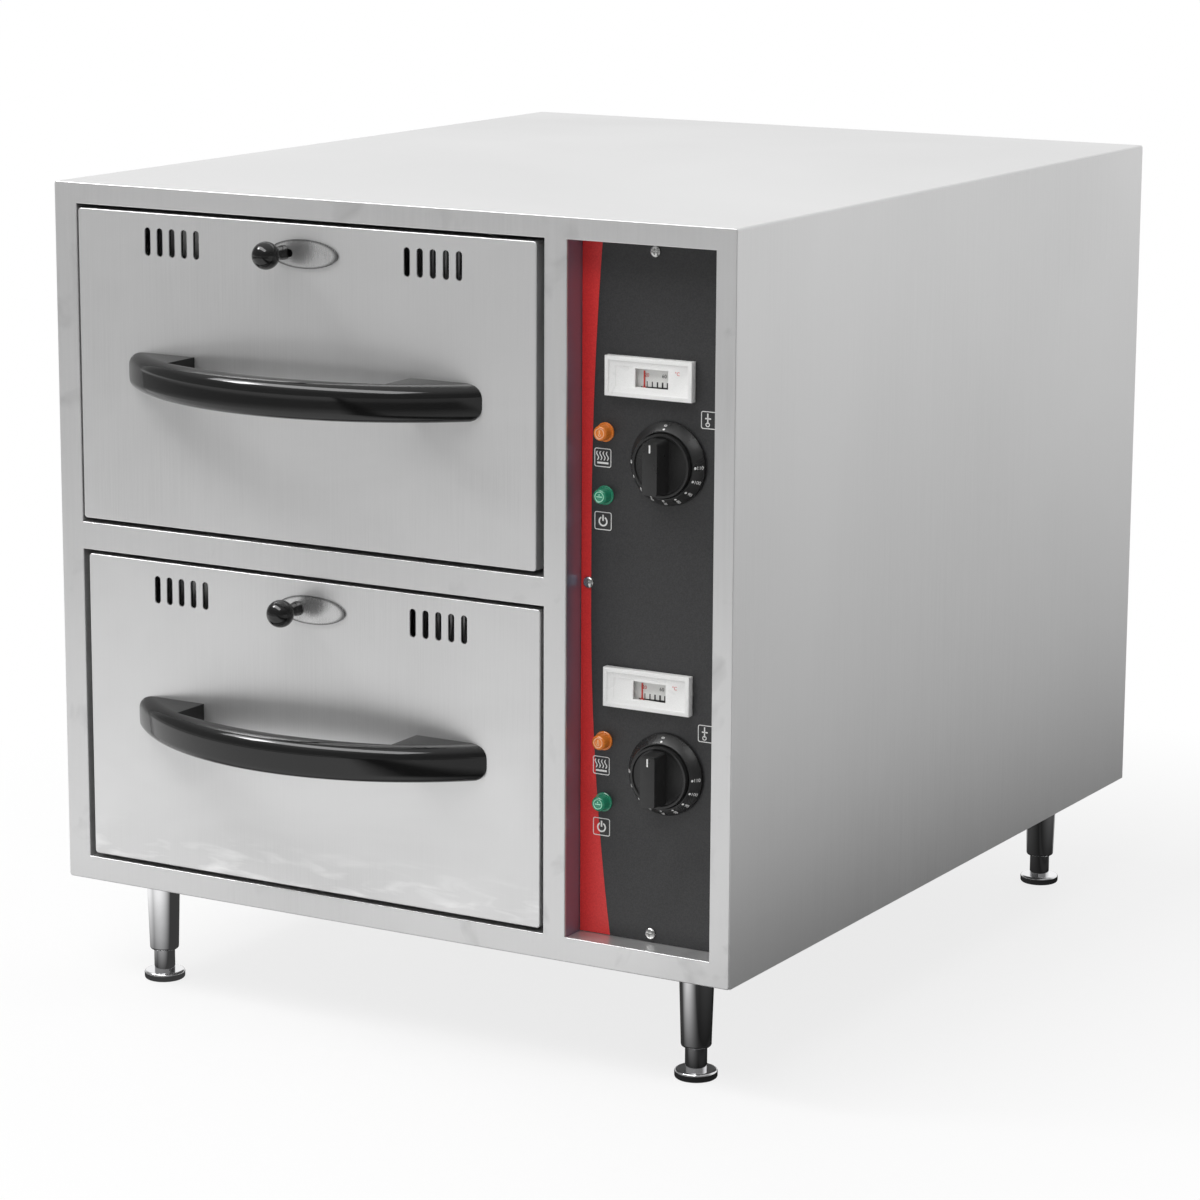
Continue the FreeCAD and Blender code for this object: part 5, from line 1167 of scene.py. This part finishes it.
# %% [markdown]
# Each drawer carries a deep steel food pan. It is drawn from one sheet, so every corner is round:
# a block is tapered, its upright and bottom edges are rounded, its top is opened, and the rim is
# pulled outwards and turned down. Solidify then gives the sheet its thickness.

# %% Food pans
PAN_LIP, PAN_CORNER, PAN_FOOT, PAN_SHEET, PAN_TURN = 10 * MM, 26 * MM, 14 * MM, 0.8 * MM, 3 * MM
PAN_TAPER = (0.94, 0.965, 1)


def food_pan(name, node):
    low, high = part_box(node)
    lip, middle = Vector((PAN_LIP, PAN_LIP, 0)), (low + high) / 2
    pan = block(name, low + lip, high - lip)
    edit(pan, "FACE", lambda face: face.normal.z < -0.9)
    bpy.ops.transform.resize(value=PAN_TAPER, center_override=middle)
    leave()
    round_edges(pan, lambda edge: span(pan, edge, Z) > 100 * MM, PAN_CORNER, 8)
    round_edges(pan, lambda edge: max(p.z for p in ends(pan, edge)) < low.z + MM, PAN_FOOT, 5)
    edit(pan, "FACE", lambda face: face.normal.z > 0.9)
    bpy.ops.mesh.delete(type="FACE")
    leave()
    width, depth = high.x - low.x, high.y - low.y
    edit(pan, "EDGE", lambda edge: min(p.z for p in ends(pan, edge)) > high.z - 0.1 * MM)
    bpy.ops.mesh.extrude_region_move(TRANSFORM_OT_translate={"value": (0, 0, 0)})
    bpy.ops.transform.resize(value=(width / (width - 2 * PAN_LIP), depth / (depth - 2 * PAN_LIP),
                                    1), center_override=middle)
    bpy.ops.mesh.extrude_region_move(TRANSFORM_OT_translate={"value": (0, 0, -PAN_TURN)})
    leave()
    outward(pan)
    sheet = pan.modifiers.new("sheet", "SOLIDIFY")
    sheet.thickness, sheet.offset = PAN_SHEET, -1
    apply(pan, sheet)
    return smooth(pan, 35)


make_pair(food_pan, "food_pan", "pan", "drawer", "pan_steel", pan_steel)

# %% [markdown]
# Low on the back, a nylon gland takes the mains cord: a hexagonal nut against the sheet and a
# ribbed dome that is screwed down on the cord's skin.

# %% Cable gland
BORE, NUT, NUT_HIGH, NUT_EDGE = 5 * MM, 13 * MM, 5 * MM, 0.8 * MM
DOME_FOOT, DOME, RIB = 0.7 * NUT, 0.82 * NUT, 0.25 * MM


def gland(name, node):
    low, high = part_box(node)
    foot, way = Vector(((low.x + high.x) / 2, low.y, (low.z + high.z) / 2)), (0, 1, 0)
    back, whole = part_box("rear_panel")[1].y - low.y, high.y - low.y
    nut = turned(name, foot, way, [(NUT, back), (NUT, back + NUT_HIGH - NUT_EDGE),
                                   (NUT - NUT_EDGE, back + NUT_HIGH)], 6)
    dome = turned("dome", foot, way, [
        (DOME_FOOT, 0), (DOME_FOOT, back + 2 * MM), (DOME, back + 2 * MM),
        (DOME, whole - 6 * MM), (0.76 * NUT, whole - 2.5 * MM), (0.62 * NUT, whole - 0.6 * MM),
        (0.5 * NUT, whole)], 36)

    def on_rib(face):
        turn = math.degrees(math.atan2(face.center.z - foot.z, face.center.x - foot.x))
        return abs(face.normal.y) < 0.3 and face.center.y > foot.y + back and turn % 20 < 10

    edit(dome, "FACE", on_rib)
    bpy.ops.mesh.extrude_region_shrink_fatten(TRANSFORM_OT_shrink_fatten={"value": RIB})
    leave()
    carve(nut, dome, "UNION")
    carve(nut, turned("bore", foot, way, [(BORE, -MM), (BORE, whole + MM)], 36))
    soften(nut, 0.25 * MM, 2, 40)
    return smooth(outward(nut), 35)


cord_gland = gland("cord_gland", "cable_gland")
hand_over(cord_gland, "cabinet", "thermostat_case", gland_black, "cable_gland")
print("gland faces:", len(cord_gland.data.polygons))

# %% [markdown]
# The red flash is printed on the panel film: a band down its left edge whose right side is a long
# shallow curve, wider at the top and bottom. A thin strip is cut into short lengths, and the right
# end of each length is moved out to the curve.

# %% Red band
BAND_LEFT, BAND_WAIST, BAND_THICK = 147.9 * MM, 155.6 * MM, 0.08 * MM
BAND_LOW, BAND_HIGH, BAND_CUTS = 100.4 * MM, 577.6 * MM, 47
# In millimetres: how high the body starts, and from where to where over that the band is narrow.
BODY_FOOT, WAIST_TOP, WAIST_FOOT = 82.5, 300, 250
TOP_FLARE, FOOT_FLARE = 2.05e-4, 2.98e-4  # how fast it widens above and below


def band_edge(height):
    """How far right the band's edge is, at a height above the floor."""
    z = height / MM - BODY_FOOT
    out = TOP_FLARE * max(z - WAIST_TOP, 0) ** 2 + FOOT_FLARE * max(WAIST_FOOT - z, 0) ** 2
    return BAND_WAIST + out * MM


band = block("red_band", (BAND_LEFT, PANEL_FACE - BAND_THICK, BAND_LOW),
             (BAND_WAIST, PANEL_FACE, BAND_HIGH))
edit(band, "EDGE", lambda edge: span(band, edge, Z) > 100 * MM)
bpy.ops.mesh.subdivide(number_cuts=BAND_CUTS)
leave()
rows = sorted({round(vertex.co.z, 6) for vertex in band.data.vertices})
for row in rows:
    edit(band, "VERT", lambda v: abs(v.co.z - row) < 0.01 * MM
         and v.co.x > BAND_WAIST - 0.5 * MM)
    bpy.ops.transform.translate(value=(band_edge(row) - BAND_WAIST, 0, 0))
    leave()
hand_over(band, "cabinet", "pointer_red", film_red)
print("band widths, mm:", [round((band_edge(row) - BAND_LEFT) / MM, 1) for row in rows[::12]])

# %% [markdown]
# Floor, light and camera. The set is a white sweep: the camera sees the floor and the room as
# plain white, while the floor itself stays an ordinary pale surface on which the object throws its
# shadow.
#
# What steel and black plastic show is the set, so the set decides how they look. To them the floor
# glows white too, but not evenly: a painted shadow makes it dark under the cabinet, a painted
# shade makes a dim strip along its right side, which gives the side and the legs their shade, and
# a dim ring lies in front, where the sweep of a real studio ends. Each of these is a range of
# places, spread into a range of brightness.

# %% Floor
FLOOR_SIZE, FLOOR_TONE, FLOOR_ROUGH = 60, 0.9, 0.6
bpy.ops.mesh.primitive_plane_add(size=FLOOR_SIZE, location=(0, 0, 0))
floor = settle(named("studio_floor"))
paint = bpy.data.materials.new("studio_floor")
paint.use_nodes = True
tree = paint.node_tree
shader = tree.nodes["Principled BSDF"]
shader.inputs["Base Color"].default_value = (*grey(FLOOR_TONE), 1)
shader.inputs["Roughness"].default_value = FLOOR_ROUGH
floor.data.materials.append(paint)
print("floor of", FLOOR_SIZE, "m, tone", FLOOR_TONE)

# %% Brightness of the floor, as steel and plastic see it
# Each line is (from, to) in metres and (from, to) in brightness.
# The painted shadow under the cabinet, in the floor's glow.
UNDER = (-0.02, 0.16, 0.05, 1.0)  # outwards from the cabinet's sides
# The painted shade along the cabinet's right side, in the floor's glow.
STRIP_START, STRIP_END = (0.1, 0.3, 1.0, 0.05), (0.46, 0.66, 0.05, 0.60)  # to the right
STRIP_FADE, RING_SIDE = (0.2, 5.4, 0.0, 1.0), (0.0, 0.6, 0.0, 1.0)  # to the right and back
RING_START, RING_END = (1.75, 2.5, 1.0, 0.24), (3.8, 5.2, 0.0, 0.8)  # away from the middle
REAL_FLOOR = (0.05, 0.5, 0.2, 0.0)  # outwards: the share of the real floor that the camera sees

position = tree.nodes.new("ShaderNodeNewGeometry").outputs["Position"]
axes = axes_of(tree, position)
low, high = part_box("outer_shell")
aside = math_node(tree, "SUBTRACT", math_node(tree, "ABSOLUTE", axes["X"]), high.x)
ahead = math_node(tree, "SUBTRACT", axes["Y"], (high.y + low.y) / 2)
ahead = math_node(tree, "SUBTRACT", math_node(tree, "ABSOLUTE", ahead), (high.y - low.y) / 2)
outside = math_node(tree, "MAXIMUM", aside, ahead)
right_back = math_node(tree, "ADD", axes["X"], axes["Y"])
away = length_of(tree, position)
painted_shadow_under = stretch_range(tree, outside, *UNDER)
painted_shade_strip = math_node(tree, "MAXIMUM", stretch_range(tree, axes["X"], *STRIP_START),
                  stretch_range(tree, axes["X"], *STRIP_END))
painted_shade_strip = math_node(tree, "MAXIMUM", painted_shade_strip, stretch_range(tree, right_back, *STRIP_FADE))
ring = math_node(tree, "MAXIMUM", stretch_range(tree, away, *RING_START),
                 stretch_range(tree, away, *RING_END))
ring = math_node(tree, "MAXIMUM", ring, stretch_range(tree, right_back, *RING_SIDE))
bright = math_node(tree, "MULTIPLY", math_node(tree, "MULTIPLY", painted_shadow_under, painted_shade_strip), ring)
print("cabinet on the floor, m:", [round(value, 3) for value in (low.x, low.y, high.x, high.y)])

# %% Who sees the bright floor
ray, glow, mix = (tree.nodes.new("ShaderNodeLightPath"), tree.nodes.new("ShaderNodeEmission"),
                  tree.nodes.new("ShaderNodeMixShader"))
camera_ray = ray.outputs["Is Camera Ray"]
shiny = math_node(tree, "MAXIMUM", ray.outputs["Is Glossy Ray"],
                  ray.outputs["Is Transmission Ray"])
tree.links.new(math_node(tree, "MAXIMUM", bright, camera_ray), glow.inputs["Strength"])
white_share = math_node(tree, "SUBTRACT", 1.0, stretch_range(tree, outside, *REAL_FLOOR))
seen = math_node(tree, "MULTIPLY", camera_ray, white_share)
tree.links.new(math_node(tree, "MAXIMUM", seen, shiny), mix.inputs[0])
tree.links.new(shader.outputs[0], mix.inputs[1])
tree.links.new(glow.outputs[0], mix.inputs[2])
tree.links.new(mix.outputs[0], tree.nodes["Material Output"].inputs["Surface"])
print("nodes in the floor's material:", len(tree.nodes))

# %% [markdown]
# The room: bright behind the object and above it, and much darker in front, which is what gives
# black plastic its depth. Matt surfaces get an even share of light instead, whatever their
# direction.

# %% World
# Each line is (from, to) by direction and (from, to) in brightness.
BEHIND, ABOVE, RIGHT = (0.1, 0.62, 0.0, 1.0), (0.45, 0.9, 0.0, 0.8), (0.1, 0.8, 1.0, 0.8)
LIT, EVEN = (0, 1, 0.26, 1.0), 0.32  # the darkest and brightest part, and what matt surfaces get
world = bpy.data.worlds.new("studio")
bpy.context.scene.world = world
world.use_nodes = True
tree = world.node_tree
room, white = tree.nodes["Background"], tree.nodes.new("ShaderNodeBackground")
ray, mix = tree.nodes.new("ShaderNodeLightPath"), tree.nodes.new("ShaderNodeMixShader")
way = axes_of(tree, tree.nodes.new("ShaderNodeTexCoord").outputs["Generated"])
lit = math_node(tree, "MAXIMUM", stretch_range(tree, way["Y"], *BEHIND),
                stretch_range(tree, way["Z"], *ABOVE))
patterned = math_node(tree, "MULTIPLY", stretch_range(tree, lit, *LIT),
                      stretch_range(tree, way["X"], *RIGHT))
matt_ray = ray.outputs["Is Diffuse Ray"]
directed = math_node(tree, "MULTIPLY", patterned, math_node(tree, "SUBTRACT", 1.0, matt_ray))
tree.links.new(math_node(tree, "ADD", directed, math_node(tree, "MULTIPLY", matt_ray, EVEN)),
               room.inputs["Strength"])
for background in (room, white):
    background.inputs["Color"].default_value = (1, 1, 1, 1)
tree.links.new(ray.outputs["Is Camera Ray"], mix.inputs[0])
tree.links.new(room.outputs[0], mix.inputs[1])
tree.links.new(white.outputs[0], mix.inputs[2])
tree.links.new(mix.outputs[0], tree.nodes["World Output"].inputs["Surface"])
print("nodes in the world:", len(tree.nodes))

# %% [markdown]
# One long soft lamp overhead draws the bright line along the top edge of each handle, and a small
# one from the left gives the knobs and handles their shadows.

# %% Lamps


def softbox(name, place, aim, size, power):
    """A rectangular lamp at place that faces aim."""
    turn = (Vector(aim) - Vector(place)).to_track_quat("-Z", "Y").to_euler()
    bpy.ops.object.light_add(type="AREA", location=place, rotation=turn)
    box = bpy.context.object
    box.name = name
    box.data.shape, box.data.size, box.data.size_y = "RECTANGLE", *size
    box.data.energy = power
    print(name, "lamp,", power, "W at", place)


softbox("overhead", (-0.7, -1.7, 2.95), (-0.1, -0.35, 0.35), (4.6, 1.0), 80)
softbox("key", (-1.95, -1.3, 2.7), (0, -0.3, 0.35), (0.6, 0.6), 20)

# %% [markdown]
# The camera stands off the front right corner, a little above the cabinet. A long lens from far
# away keeps the upright edges nearly parallel.

# %% Camera
CAMERA_PLACE, CAMERA_TURN = (1.4971, -2.59515, 0.89265), (78.13986, -0.27402, 30.13755)
LENS_LENGTH, SENSOR = 121.2, 36
bpy.ops.object.camera_add(location=CAMERA_PLACE,
                          rotation=[math.radians(turn) for turn in CAMERA_TURN])
camera = named("camera")
camera.data.lens, camera.data.sensor_width = LENS_LENGTH, SENSOR
bpy.context.scene.camera = camera
bpy.context.scene.view_settings.view_transform = "Standard"
print("camera at", CAMERA_PLACE, "with a lens of", LENS_LENGTH, "mm")
